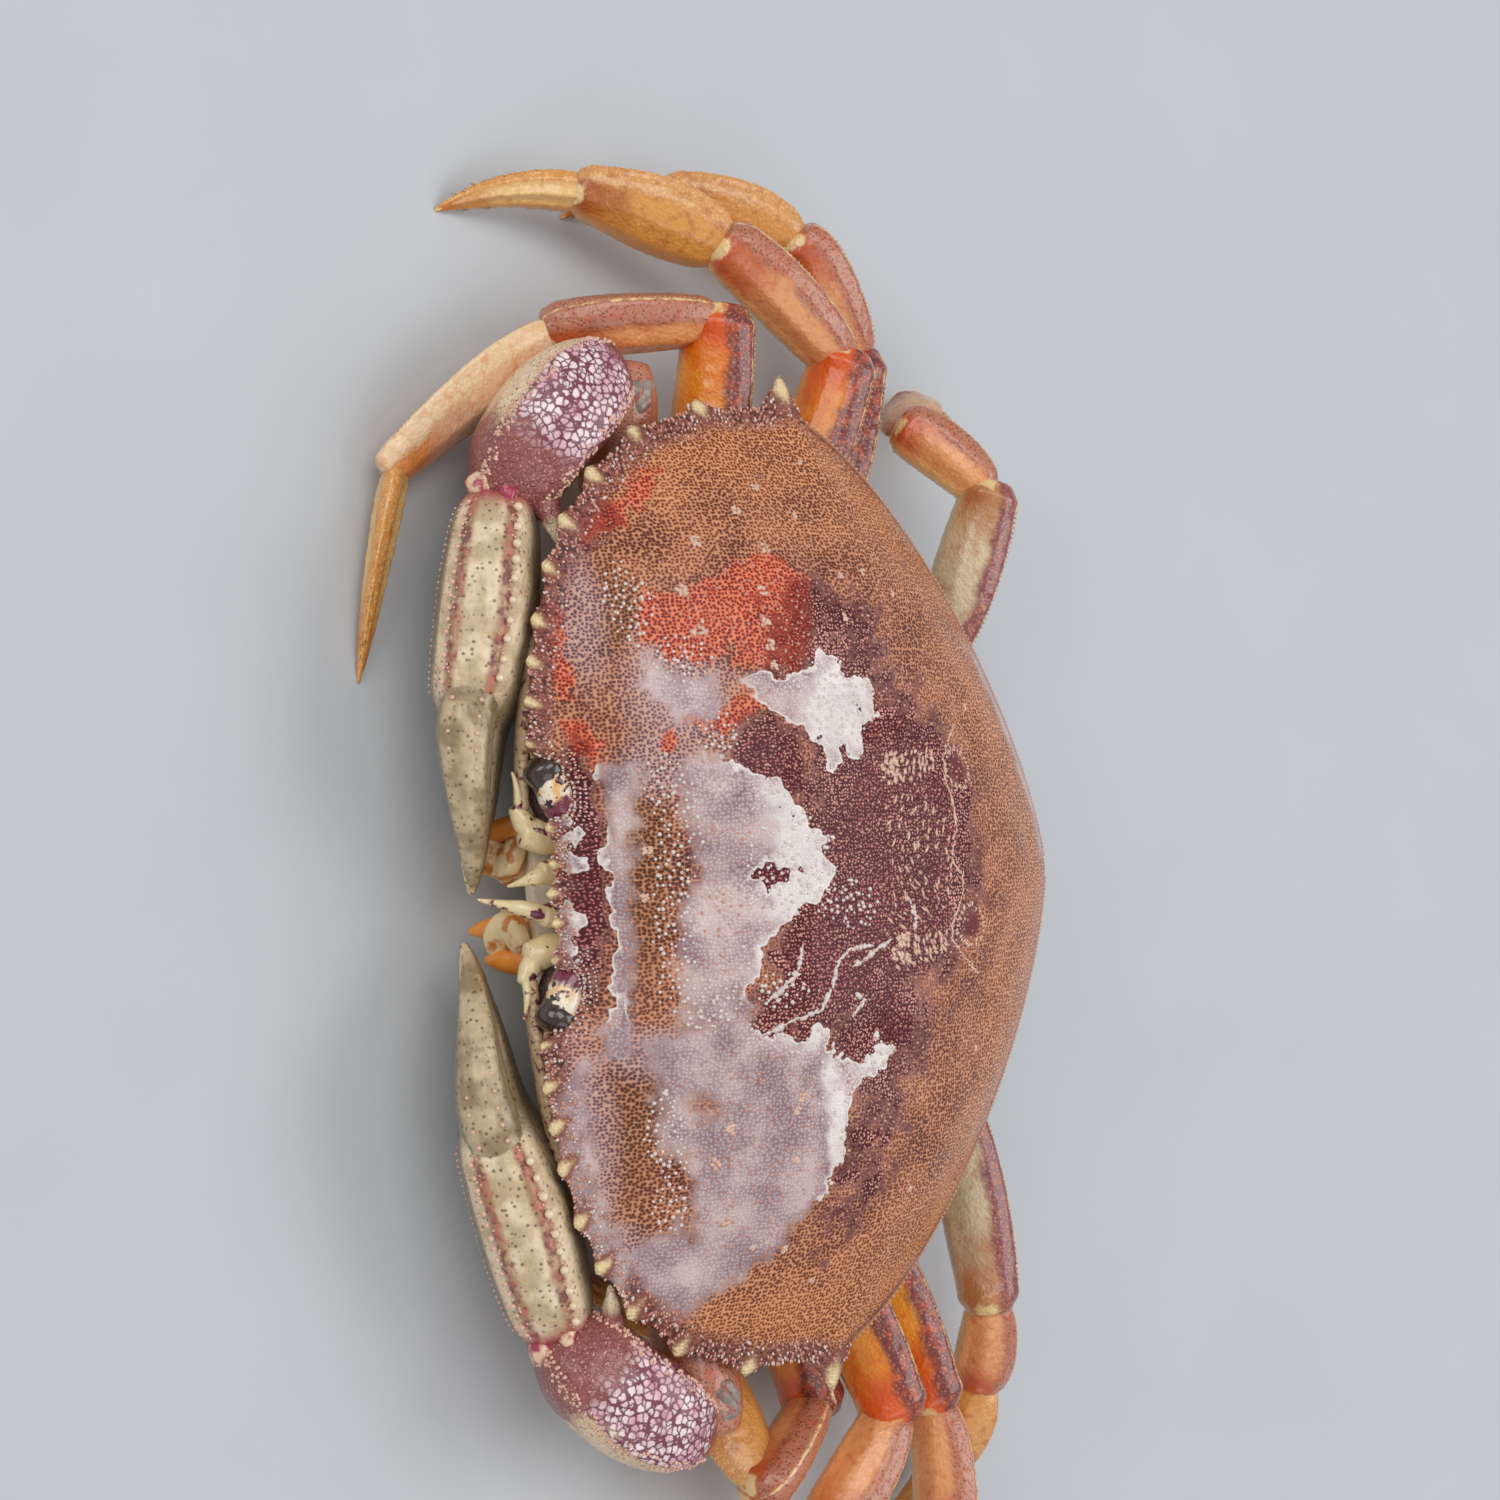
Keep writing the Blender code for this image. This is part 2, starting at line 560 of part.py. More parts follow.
def wrist(name, collection, grow=0.0):
    """The short stout segment behind the hand, its middle line bent up and outwards."""
    _, elbow, hand_start, _ = CLAWS[name]
    _, axis, _, _ = hand_frame(name)
    outward = -1 if axis.x > 0 else 1
    start = Vector(elbow) + Vector((outward * 1.5, -2.5, 1.0))
    end = Vector(hand_start) + axis * 1.5
    middle = (start + end) / 2 + Vector((outward * 6.2, -3.8, 7.0))
    rings = []
    for k, (share, half_width, half_height) in enumerate(WRIST):
        point = start * (1 - share) ** 2 + middle * (2 * share * (1 - share)) + end * share ** 2
        way = ((middle - start) * (1 - share) + (end - middle) * share).normalized()
        side = way.cross(Vector((0, 0, 1))).normalized()
        cap = way * (grow if k == len(WRIST) - 1 else -grow if k == 0 else 0.0)
        rings.append(section(point + cap, side, side.cross(way), half_width + grow,
                             half_height + grow, 12, 2.3))
    return loft(f"{name}_wrist", rings, collection)


def wrist_spine(name, collection):
    """The long spine on the inner corner of the wrist."""
    root, point = {
        "right_claw": (Vector((-64.5, -46.0, 29.8)), Vector((0.86, -0.5, 0.04))),
        "left_claw": (Vector((76.0, -41.0, 30.6)), Vector((-0.8, -0.6, 0.1))),
    }[name]
    return spike("spine", root, point, 11.0, 4.4, collection, sides=8)


def claw(name, collection):
    """Arm, wrist, hand with its fixed finger, and the moving finger."""
    upper = cut(arm(name, collection), [wrist(name, collection, GAP)])
    joint = fuse(wrist(name, collection), [wrist_spine(name, collection)])
    cut(joint, [hand(name, collection, GAP)])
    palm = fuse(hand(name, collection), hand_spines(name, collection))
    cut(palm, [finger(name, collection, GAP)])
    thumb = fuse(finger(name, collection), finger_spines(name, collection))
    return upper, joint, palm, thumb


# Colours and the whole crab

COLOURS = {
    "carapace": ((0.30, 0.13, 0.10), 0.35),
    "claw": ((0.62, 0.36, 0.32), 0.4),
    "leg": ((0.62, 0.30, 0.13), 0.4),
    "underside": ((0.78, 0.66, 0.48), 0.5),
    "face": ((0.72, 0.56, 0.40), 0.4),
    "eye": ((0.05, 0.05, 0.04), 0.15),
}


def paint(item, colour_name):
    colour, roughness = COLOURS[colour_name]
    item.data.materials.clear()
    item.data.materials.append(shell_material(item.name, colour, roughness))
    item.data.shade_smooth()
    item.data.set_sharp_from_angle(angle=math.radians(40))


def stand_in_metres(items):
    """Moves the origin to the floor under the middle of the crab, and goes to metres."""
    corners = [vert.co for item in items for vert in item.data.vertices]
    middle_x = (min(c.x for c in corners) + max(c.x for c in corners)) / 2
    middle_y = (min(c.y for c in corners) + max(c.y for c in corners)) / 2
    place = Matrix.Scale(METRES, 4) @ Matrix.Translation((-middle_x, -middle_y, 0))
    for item in items:
        item.data.transform(place)


def main():
    clear_scene()
    crab = new_collection("dungeness_crab")
    painted = {}

    body = thorax(crab)
    tail = abdomen(crab)
    tools = [abdomen(crab, GAP)]
    mouth = []
    for side, label in ((-1, "right"), (1, "left")):
        mouth.append(maxilliped(side, f"{label}_mouth_plate", crab))
        tools.append(maxilliped(side, f"{label}_tool", crab, GAP))
    tools += [leg_segment(name, 0, crab, GAP) for name in LEGS]
    tools += [arm(name, crab, GAP) for name in CLAWS]
    cut(body, tools)

    shell = carapace(crab)
    eyes, feelers, tools = [], [], []
    for side, label in ((-1, "right"), (1, "left")):
        eyes.append(eye(side, f"{label}_eye", crab))
        feelers.append(antenna(side, f"{label}_antenna", crab))
        feelers.append(antennule(side, f"{label}_antennule", crab))
        tools += [shape(side, "tool", crab, GAP) for shape in (eye, antenna, antennule)]
    tools += [shape(name, crab, GAP) for name in CLAWS for shape in (arm, wrist)]
    tools.append(abdomen(crab, GAP))
    cut(shell, tools)

    for item in (shell,):
        painted[item.name] = (item, "carapace")
    for item in (body, tail):
        painted[item.name] = (item, "underside")
    for item in mouth + feelers:
        painted[item.name] = (item, "face")
    for item in eyes:
        painted[item.name] = (item, "eye")
    for name in LEGS:
        for item in walking_leg(name, crab):
            painted[item.name] = (item, "leg")
    for name in CLAWS:
        for item in claw(name, crab):
            painted[item.name] = (item, "claw")

    items = [item for item, _ in painted.values()]
    for item in items:
        rest_on_floor(item)
    stand_in_metres(items)
    for item, colour_name in painted.values():
        paint(item, colour_name)


main()
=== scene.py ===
"""A Dungeness crab, alive and wet, at rest with its claws folded across its face.

Every piece is shaped in millimetres round the middle of the shell, X to the
crab's left, Y to its back, Z up, and is then set into the frame in metres.
"""

import math
import random

import bmesh
import bpy
import numpy as np
from mathutils import Matrix, Vector, noise


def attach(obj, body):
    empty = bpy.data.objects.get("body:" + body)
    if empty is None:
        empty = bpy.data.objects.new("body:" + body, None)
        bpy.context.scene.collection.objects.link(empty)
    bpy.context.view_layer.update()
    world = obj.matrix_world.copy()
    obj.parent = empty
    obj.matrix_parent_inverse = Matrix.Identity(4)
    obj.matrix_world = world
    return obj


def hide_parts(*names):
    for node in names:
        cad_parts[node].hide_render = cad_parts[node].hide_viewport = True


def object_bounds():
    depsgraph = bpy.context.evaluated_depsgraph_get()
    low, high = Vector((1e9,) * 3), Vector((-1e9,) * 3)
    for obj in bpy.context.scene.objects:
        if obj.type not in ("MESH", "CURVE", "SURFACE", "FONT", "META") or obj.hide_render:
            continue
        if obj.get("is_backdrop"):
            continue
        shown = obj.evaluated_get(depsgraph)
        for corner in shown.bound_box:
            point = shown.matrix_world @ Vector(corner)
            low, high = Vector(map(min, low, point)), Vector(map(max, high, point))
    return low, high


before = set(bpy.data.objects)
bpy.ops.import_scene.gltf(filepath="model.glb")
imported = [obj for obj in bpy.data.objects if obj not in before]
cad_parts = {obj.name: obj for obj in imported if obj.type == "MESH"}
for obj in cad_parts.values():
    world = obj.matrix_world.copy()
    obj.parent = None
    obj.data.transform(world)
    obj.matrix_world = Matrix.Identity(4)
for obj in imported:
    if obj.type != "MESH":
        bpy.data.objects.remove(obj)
cad_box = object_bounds()

# The view and the light
# The camera looks down over the crab's face, 36 degrees off the vertical, its left legs out of
# the picture. A broad soft light stands behind the crab, so that its wet back mirrors it.

picture_right = Vector((0.05177, 0.80918, 0.58529)).normalized()
picture_up = Vector((-0.99783, 0.01794, 0.06344))
toward_eye = picture_right.cross(picture_up).normalized()
picture_up = toward_eye.cross(picture_right)
eye_place = Vector((-0.01235, -0.28286, 0.40853))

lens = bpy.data.cameras.new("view")
lens.lens = 67.2
lens.sensor_width = 36.0
lens.clip_start = 0.02
view = bpy.data.objects.new("view", lens)
bpy.context.scene.collection.objects.link(view)
turned = Matrix((picture_right, picture_up, toward_eye)).transposed().to_4x4()
view.matrix_world = Matrix.Translation(eye_place) @ turned
bpy.context.scene.camera = view
bpy.context.scene.view_settings.view_transform = "Standard"


def soft_light(name, place, size, watts, tint=(1.0, 1.0, 1.0)):
    """A square area light that faces the crab."""
    data = bpy.data.lights.new(name, "AREA")
    data.shape = "SQUARE"
    data.size = size
    data.energy = watts
    data.color = tint
    lamp = bpy.data.objects.new(name, data)
    bpy.context.scene.collection.objects.link(lamp)
    lamp.location = place
    lamp.rotation_euler = (-Vector(place)).to_track_quat("-Z", "Y").to_euler()


soft_light("sky_behind", (0.05, 0.85, 1.15), 0.9, 6.5, (0.96, 0.98, 1.0))
soft_light("sky_above", (-0.55, -0.35, 1.5), 0.9, 6.4, (1.0, 0.98, 0.95))
soft_light("sky_left", (0.9, -0.2, 0.9), 0.7, 1.6, (1.0, 0.97, 0.94))
soft_light("sky_front", (-0.5, -1.0, 0.6), 0.6, 3.0, (1.0, 0.98, 0.95))

sky = bpy.data.worlds.new("sky")
sky.use_nodes = True
sky.node_tree.nodes["Background"].inputs["Color"].default_value = (0.86, 0.92, 1.0, 1.0)
sky.node_tree.nodes["Background"].inputs["Strength"].default_value = 0.42
bpy.context.scene.world = sky


def tone(red, green, blue):
    """A colour given as it looks on a screen, 0 to 255, as the linear light a shader takes."""
    linear = []
    for level in (red, green, blue):
        share = level / 255
        linear.append(share / 12.92 if share <= 0.04045 else ((share + 0.055) / 1.055) ** 2.4)
    return (*linear, 1.0)


MM = 1000


class Number:
    """A number or colour that a skin works out, ready to be added, subtracted and multiplied."""

    def __init__(self, socket):
        self.socket = socket

    def __add__(self, other):
        return sums("ADD", self, other)

    def __sub__(self, other):
        return sums("SUBTRACT", self, other)

    def __rsub__(self, other):
        return sums("SUBTRACT", other, self)

    def __mul__(self, other):
        return sums("MULTIPLY", self, other)


class Brush:
    """The skin in hand: its node tree, its shader and its Object coordinates in metres."""


def wire(socket, value):
    """Gives a socket a value or a link."""
    if isinstance(value, Number):
        Brush.tree.links.new(value.socket, socket)
    else:
        socket.default_value = value


def add_node(kind, sockets=(), **settings):
    """A node of the skin in hand with its sockets and settings. Its outputs come back as a list."""
    made = Brush.tree.nodes.new("ShaderNode" + kind)
    for name, value in settings.items():
        setattr(made, name, value)
    for name, value in dict(sockets).items():
        wire(made.inputs[name], value)
    return [Number(socket) for socket in made.outputs]


def new_skin(name):
    """A fresh material, which the nodes and looks that follow belong to."""
    made = bpy.data.materials.new(name)
    made.use_nodes = True
    Brush.tree = made.node_tree
    Brush.shader = Brush.tree.nodes["Principled BSDF"]
    Brush.place = add_node("TexCoord")[3]
    return made


def dress(**looks):
    """Gives the skin in hand its looks, each named as its shader's socket is."""
    for name, value in looks.items():
        wire(Brush.shader.inputs[name.replace("_", " ")], value)


def sums(how, first, second):
    return add_node("Math", {0: first, 1: second}, operation=how)[0]


def blend(share, low, high):
    """Two colours mixed by a share."""
    return add_node("Mix", {0: share, 6: low, 7: high}, data_type="RGBA", blend_type="MIX")[2]


def ramp(value, low, high, bottom=0.0, top=1.0):
    """A number brought from low..high to bottom..top with soft ends."""
    sockets = {"Value": value, "From Min": low, "From Max": high, "To Min": bottom, "To Max": top}
    return add_node("MapRange", sockets, interpolation_type="SMOOTHSTEP")[0]


def freckles(apart, feature="F1", place=None):
    """Cells about so many millimetres apart."""
    sockets = {"Vector": place or Brush.place, "Scale": MM / apart}
    return add_node("TexVoronoi", sockets, feature=feature)[0]


def clouds(apart, detail=3.0):
    """Soft noise with features about so many millimetres apart."""
    return add_node("TexNoise", {"Vector": Brush.place, "Scale": MM / apart, "Detail": detail})[0]


def warped(apart, reach):
    """Places shifted by up to so many millimetres, so that straight lines bend."""
    sockets = {"Vector": Brush.place, "Scale": MM / apart, "Detail": 3.0}
    shift = add_node("TexNoise", sockets)[1]
    sockets = {0: shift, 1: (reach / MM,) * 3, 2: Brush.place}
    return add_node("VectorMath", sockets, operation="MULTIPLY_ADD")[0]


def relief(height, depth):
    """Bump of so many millimetres."""
    sockets = {"Height": height, "Distance": depth / MM, "Strength": 1.0}
    dress(Normal=add_node("Bump", sockets)[0])


def read_map(name):
    """The four numbers of a colour attribute."""
    colour, _, _, alpha = add_node("Attribute", attribute_name=name)
    return [*add_node("SeparateColor", {0: colour}), alpha]


floor_skin = new_skin("pale_floor")
stone = blend(clouds(40.0), tone(196, 199, 202), tone(208, 210, 212))
dress(Base_Color=stone, Roughness=0.7)
relief(clouds(2.0), 0.05)

bm = bmesh.new()
bmesh.ops.create_grid(bm, x_segments=8, y_segments=8, size=2.5)
mesh = bpy.data.meshes.new("floor")
bm.to_mesh(mesh)
bm.free()
floor = bpy.data.objects.new("floor", mesh)
floor.data.materials.append(floor_skin)
bpy.context.scene.collection.objects.link(floor)
floor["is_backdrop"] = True

# The shell
# The carapace is one domed plate of lime and chitin, wider than long, drawn out at the sides into
# teeth. Its skin is freckled, pitted and granular, and water lies on it in patches, where its mirror
# of the sky is painted on as a lilac-grey and white sheen, a painted reflection.

MIDDLE_X, MIDDLE_Y = 9.33, -4.21
CRAB_TO_FRAME = Matrix.Scale(0.001, 4) @ Matrix.Translation((-MIDDLE_X, -MIDDLE_Y, 0))
HALF_WIDTH = 80.5
FRONT_REACH = 55.2
BACK_REACH = 54.0
FRONT_POWER, BACK_POWER = 2.8, 1.45
RIM_HEIGHT = 27.5
DOME_HEIGHT = 23.5
SHELL_FLOOR = 19.5
FLOOR_GAP = 0.02
LOBES = ((16, -20, 13, 1.6), (47, -14, 15, 1.2), (46, 12, 17, 1.6), (9, 20, 10, 1.3),
         (31, -2, 9, -1.4), (37, -34, 9, -1.2), (24, 22, 8, -1.0))
FINE_LOBES = ((0, -41, 8, -0.7), (43, -42, 6, -0.7), (0, -12, 7, 0.5), (13, -33, 6, 0.5),
              (60, -22, 7, 0.4), (15, 16, 3.0, -0.5), (8, 6, 5, 0.4), (60, 4, 8, 0.4),
              (33, 30, 7, 0.4))
SIDE_TEETH = ((23.6, 2.4), (30.6, 2.6), (37.0, 2.8), (43.6, 3.0), (52.2, 3.2),
              (59.8, 3.2), (67.6, 3.4), (74.6, 3.5), (79.4, 3.6))
BROW_TEETH = ((4.6, 2.2, 2.2), (10.4, 2.5, 2.4))


def rim_reach(angle):
    """How far the plain rim lies from the middle."""
    c, s = abs(math.cos(angle)), math.sin(angle)
    reach, power = (BACK_REACH, BACK_POWER) if s > 0 else (FRONT_REACH, FRONT_POWER)
    return ((c / HALF_WIDTH) ** power + (abs(s) / reach) ** power) ** (-1 / power)


def front_line(x):
    """How far forward the front rim lies at a distance x from the middle."""
    return -FRONT_REACH * (1 - (x / HALF_WIDTH) ** FRONT_POWER) ** (1 / FRONT_POWER)


def rim_notch(angle):
    """How far the rim draws in at the brow and at the two eye sockets."""
    if math.sin(angle) > 0:
        return 0.0
    x = abs(rim_reach(angle) * math.cos(angle))
    brow = 4.7 / (1 + math.exp((x - 12.0) / 0.8))
    return brow + 7.0 * math.exp(-((x - 17.3) / 5.0) ** 4)


def rim_height(angle):
    front, back = max(0.0, -math.sin(angle)), max(0.0, math.sin(angle))
    return RIM_HEIGHT + 2.0 * front ** 2 + 0.5 * back ** 2


def swelling(x, y, lobes):
    return sum(h * math.exp(-((abs(x) - px) ** 2 + (y - py) ** 2) / spread ** 2)
               for px, py, spread, h in lobes)


def shell_top(angle, share):
    """A point of the smooth upper side, share 0 at the crown and 1 at the rim."""
    reach = rim_reach(angle) - rim_notch(angle) * share ** 8
    x, y = reach * share * math.cos(angle), reach * share * math.sin(angle)
    power = 2.6 - 0.4 * max(0.0, -math.sin(angle))
    edge = RIM_HEIGHT + (rim_height(angle) - RIM_HEIGHT) * share ** 2
    z = edge + DOME_HEIGHT * (1 - share ** power)
    z += swelling(x, y, LOBES) * (1 - share ** 6) + swelling(x, y, FINE_LOBES) * (1 - share ** 12)
    z += (noise.noise(Vector((x, y, z)) * 0.11) * 0.35 + noise.noise(Vector((x, y, z)) * 0.75)
          * 0.08) * (1 - share ** 20)
    return Vector((x, y, z))


def shell_teeth():
    """Each tooth as its root on the rim, the way it points, its length and half its base."""
    teeth = []
    for side in (-1, 1):
        for x, size in SIDE_TEETH:
            y = front_line(x)
            way = Vector((side * (x / HALF_WIDTH) ** 1.8, y / FRONT_REACH - 0.35,
                          0.06)).normalized()
            teeth.append((Vector((side * x, y, 0)), way, size * 0.62, size * 1.0))
        teeth.append((Vector((side * 80.2, 0.2, 0)), Vector((side, -0.14, 0.08)), 6.2, 4.8))
        for x, length, base in BROW_TEETH:
            teeth.append((Vector((side * x, -50.4, 0)), Vector((side * 0.1, -1, 0.02)), length,
                          base))
    teeth.append((Vector((0, -50.4, 0)), Vector((0, -1, 0.02)), 3.0, 2.8))
    return teeth


TEETH = shell_teeth()


def tooth_push(rim_point):
    """How a tooth draws out the rim at this point, and how near its tip this is."""
    flat = Vector((rim_point.x, rim_point.y, 0))
    push, nearest = Vector((0, 0, 0)), 0.0
    for root, way, length, base in TEETH:
        away = (flat - root).length / base
        if away < 1:
            share = (1 - away) ** 1.05
            push += way * (length * share)
            nearest = max(nearest, share)
    return push, nearest


GRID = 292


def disc_place(u, v):
    """Angle and share on the shell for a place on a square sheet from -1 to 1."""
    if abs(u) > abs(v):
        reach, even = u, math.pi / 4 * v / u
    elif v:
        reach, even = v, math.pi / 2 - math.pi / 4 * u / v
    else:
        return 0.0, 0.0
    even += math.pi if reach < 0 else 0.0
    return even - 0.45 * math.cos(even), abs(reach)


bm = bmesh.new()
bmesh.ops.create_grid(bm, x_segments=GRID, y_segments=GRID, size=1.0)
tips = bm.verts.layers.float.new("tip")
shares = bm.verts.layers.float.new("share")
pushes, turn_at = {}, {}
for vert in bm.verts:
    angle, share = disc_place(vert.co.x, vert.co.y)
    point = shell_top(angle, share)
    if share > 0.86:
        if angle not in pushes:
            pushes[angle] = tooth_push(shell_top(angle, 1.0))
        push, near = pushes[angle]
        point += push * share ** 26
        point.z += 0.5 * near * share ** 40
        vert[tips] = near * max(0.0, (share - 0.93) / 0.07)
    vert.co = point
    vert[shares] = share
    if share > 0.9999:
        turn_at[tuple(vert.co)] = angle

# The side of the shell under its rim, drawn in row by row to the top of the breast
UNDER_RIM = ((0.997, 0.998, 0.5, 0.8), (0.992, 0.995, 1.0, 0.5), (0.985, 0.99, 1.5, 0.3),
             (0.955, 0.98, 2.2, 0.1), (0.91, 0.968, 3.1, 0.0), (0.85, 0.955, 4.1, 0.0),
             (0.79, 0.942, 5.3, 0.0), (0.73, 0.925, 6.6, 0.0))
rim_edges = [edge for edge in bm.edges if edge.is_boundary]
for wide, deep, drop, toothed in (*UNDER_RIM, (0.67, 0.905, None, 0.0)):
    grown = bmesh.ops.extrude_edge_only(bm, edges=rim_edges)["geom"]
    rim_edges = [part for part in grown if isinstance(part, bmesh.types.BMEdge)
                 and part.is_boundary]
    now = {}
    for vert in {vert for edge in rim_edges for vert in edge.verts}:
        angle = turn_at[tuple(vert.co)]
        edge = shell_top(angle, 1.0)
        push, near = pushes[angle]
        height = SHELL_FLOOR if drop is None else edge.z - drop
        vert.co = Vector((edge.x * wide, edge.y * deep, height)) + push * toothed
        vert[shares] = 1.0 + (1 - wide)
        vert[tips] = near * toothed
        now[tuple(vert.co)] = angle
    turn_at = now
bmesh.ops.holes_fill(bm, edges=rim_edges, sides=0)
bmesh.ops.recalc_face_normals(bm, faces=bm.faces)


def faced_out(bm):
    """The same mesh with every face looking out."""
    bmesh.ops.recalc_face_normals(bm, faces=bm.faces)
    return bm


def settle(bm, name, skin, nodes=()):
    """Sets a shaped mesh into the frame as a piece that stands for its solids."""
    for vert in bm.verts:
        vert.co.z = max(vert.co.z, FLOOR_GAP)
    bm.transform(CRAB_TO_FRAME)
    mesh = bpy.data.meshes.new(name)
    bm.to_mesh(mesh)
    bm.free()
    mesh.shade_smooth()
    piece = bpy.data.objects.new(name, mesh)
    piece.data.materials.append(skin)
    bpy.context.scene.collection.objects.link(piece)
    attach(piece, "root")
    if nodes:
        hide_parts(*nodes)
    return piece


def crab_places(mesh):
    """The mesh's points as X and Y in millimetres round the middle of the shell."""
    points = np.empty(len(mesh.vertices) * 3, np.float32)
    mesh.vertices.foreach_get("co", points)
    points = points.reshape(-1, 3) * MM
    return points[:, 0] + MIDDLE_X, points[:, 1] + MIDDLE_Y


def paint_zones(mesh, name, red, green, blue):
    """Keeps three maps of the surface as one colour attribute."""
    colours = np.ones((len(mesh.vertices), 4), np.float32)
    for channel, values in enumerate((red, green, blue)):
        colours[:, channel] = values
    zones = mesh.attributes.new(name, "FLOAT_COLOR", "POINT")
    zones.data.foreach_set("color", colours.ravel())


def patches(x, y, places):
    """1 in the middle of the nearest oval of (x, y, half x, half y, lean), 0 at its edge."""
    found = np.full(np.shape(x), -9.0)
    for middle_x, middle_y, half_x, half_y, lean in places:
        turn = math.radians(lean)
        across = (x - middle_x) * math.cos(turn) + (y - middle_y) * math.sin(turn)
        along = (y - middle_y) * math.cos(turn) - (x - middle_x) * math.sin(turn)
        found = np.maximum(found, 1 - np.hypot(across / half_x, along / half_y))
    return found


def within(x, y, outlines):
    """How many millimetres a place lies inside the nearest closed outline, below 0 outside."""
    found = np.full(np.shape(x), -99.0)
    for outline in outlines:
        near, inside = np.full(np.shape(x), 99.0), np.zeros(np.shape(x), bool)
        for (ax, ay), (bx, by) in zip(outline, outline[1:] + outline[:1]):
            share = ((x - ax) * (bx - ax) + (y - ay) * (by - ay)) / ((bx - ax) ** 2
                    + (by - ay) ** 2)
            share = np.clip(share, 0, 1)
            near = np.minimum(near, np.hypot(x - ax - share * (bx - ax),
                    y - ay - share * (by - ay)))
            if ay != by:
                inside ^= ((ay > y) != (by > y)) & (x < (bx - ax) * (y - ay) / (by - ay) + ax)
        found = np.maximum(found, np.where(inside, near, -near))
    return found


ORANGE = (((-48, -35), (-47, -32), (-49, -28), (-52, -22), (-53, -17), (-52, -13), (-50, -10),
           (-45, -11), (-41, -11), (-37, -12), (-33, -14), (-35, -18), (-35, -22), (-36, -25),
           (-39, -24), (-37, -28), (-36, -33), (-39, -37), (-43, -38), (-46, -37)),
          ((-26, -33), (-28, -27), (-31, -24), (-29, -21), (-26, -26), (-24, -28), (-25, -31)),
          ((-70, -30), (-68, -29), (-62, -34), (-58, -39), (-56, -43), (-58, -45), (-62, -41),
           (-66, -34)), ((-48, -50), (-45, -48), (-39, -48.5), (-32, -48.5), (-30, -48), (-31, -51),
        (-37, -51.5), (-44, -51)), ((-28, -51), (-27, -47), (-23, -45.5), (-19, -47), (-24, -50)),
        ((-23, -35), (-22, -36), (-22, -37), (-24, -36)))
# Outlines of the water, where the sky's mirror is painted on as a sheen; HOLES are dry gaps in it.
RIGHT_SHEEN = ((-33, -25), (-34, -20), (-33, -15), (-37, -10), (-35, -6), (-33, -5), (-33, 1),
              (-26, -1), (-23, -4), (-20.5, -4), (-19, -6.5), (-21, -8), (-18, -9), (-18, -12),
              (-21, -13), (-25, -16), (-27, -21), (-30, -23))
MIDDLE_SHEEN = ((-21, -32), (-19, -27), (-17, -23), (-15, -20), (-12, -19), (-12, -16), (-9, -16),
               (-7, -12.5), (-4, -13.5), (-2, -10.5), (0, -12), (3, -14), (4, -17), (7, -21),
               (10, -25), (14, -25), (17, -28), (19, -26), (22, -28), (23, -34), (22, -37),
               (16, -37), (10, -37), (3, -36), (-1, -33), (-7, -34), (-10, -35), (-13, -36),
               (-19, -35))
LEFT_SHEEN = ((24, -42), (22, -34), (21, -28), (24, -25), (25, -18), (22, -16), (25, -13.5),
             (27, -14), (29, -10), (30, -6), (26, -3), (28, 0), (31, -1.5), (32, -5), (34, -8),
             (39, -9.5), (45, -10), (51, -12), (56, -17), (59, -18), (62, -22), (66, -27),
             (70, -33), (64, -39), (58, -42), (54, -36), (50, -34), (44, -35), (41, -39), (30, -40))
FRONT_SHEEN = ((-20, -46), (-9, -45.4), (-6, -46.4), (-3, -45.6), (3, -45.2), (9, -44.6), (17, -46),
              (26, -47), (27, -44), (9, -43), (-2, -42.5), (-11, -41.5), (-20, -41))
SMALL_SHEEN = ((-38, -37), (-33, -34), (-33, -29), (-29, -27), (-26, -31), (-27, -35), (-32, -39))
LEFT_FRONT_SHEEN = ((27, -50), (34, -48.6), (42, -47.8), (50, -46), (56, -42.5), (62, -40),
        (65, -42), (58, -47.5), (50, -51), (40, -52.5), (30, -52.5))
BROW_SHEENS = (((-13, -50.5), (-12, -49.2), (-9, -48.4), (-7, -49.2), (-4, -48.6), (-3, -50),
               (-5, -51), (-9, -51)), ((1, -50.6), (2.6, -49.2), (5, -48.6), (7, -49.4), (9, -48.2),
        (12, -49.2), (12.6, -50.6), (7, -51.2)))
WET_SHEENS = (RIGHT_SHEEN, MIDDLE_SHEEN, LEFT_SHEEN, FRONT_SHEEN, SMALL_SHEEN, LEFT_FRONT_SHEEN, *BROW_SHEENS)
HOLES = (((-1.4, -26), (-3.3, -23), (-1.8, -18.4), (0.6, -19.5), (1.2, -23)),
         ((33, -35), (36, -34.5), (37, -31), (34, -31)),
         ((45, -38), (53, -36), (56, -33), (50, -34)))
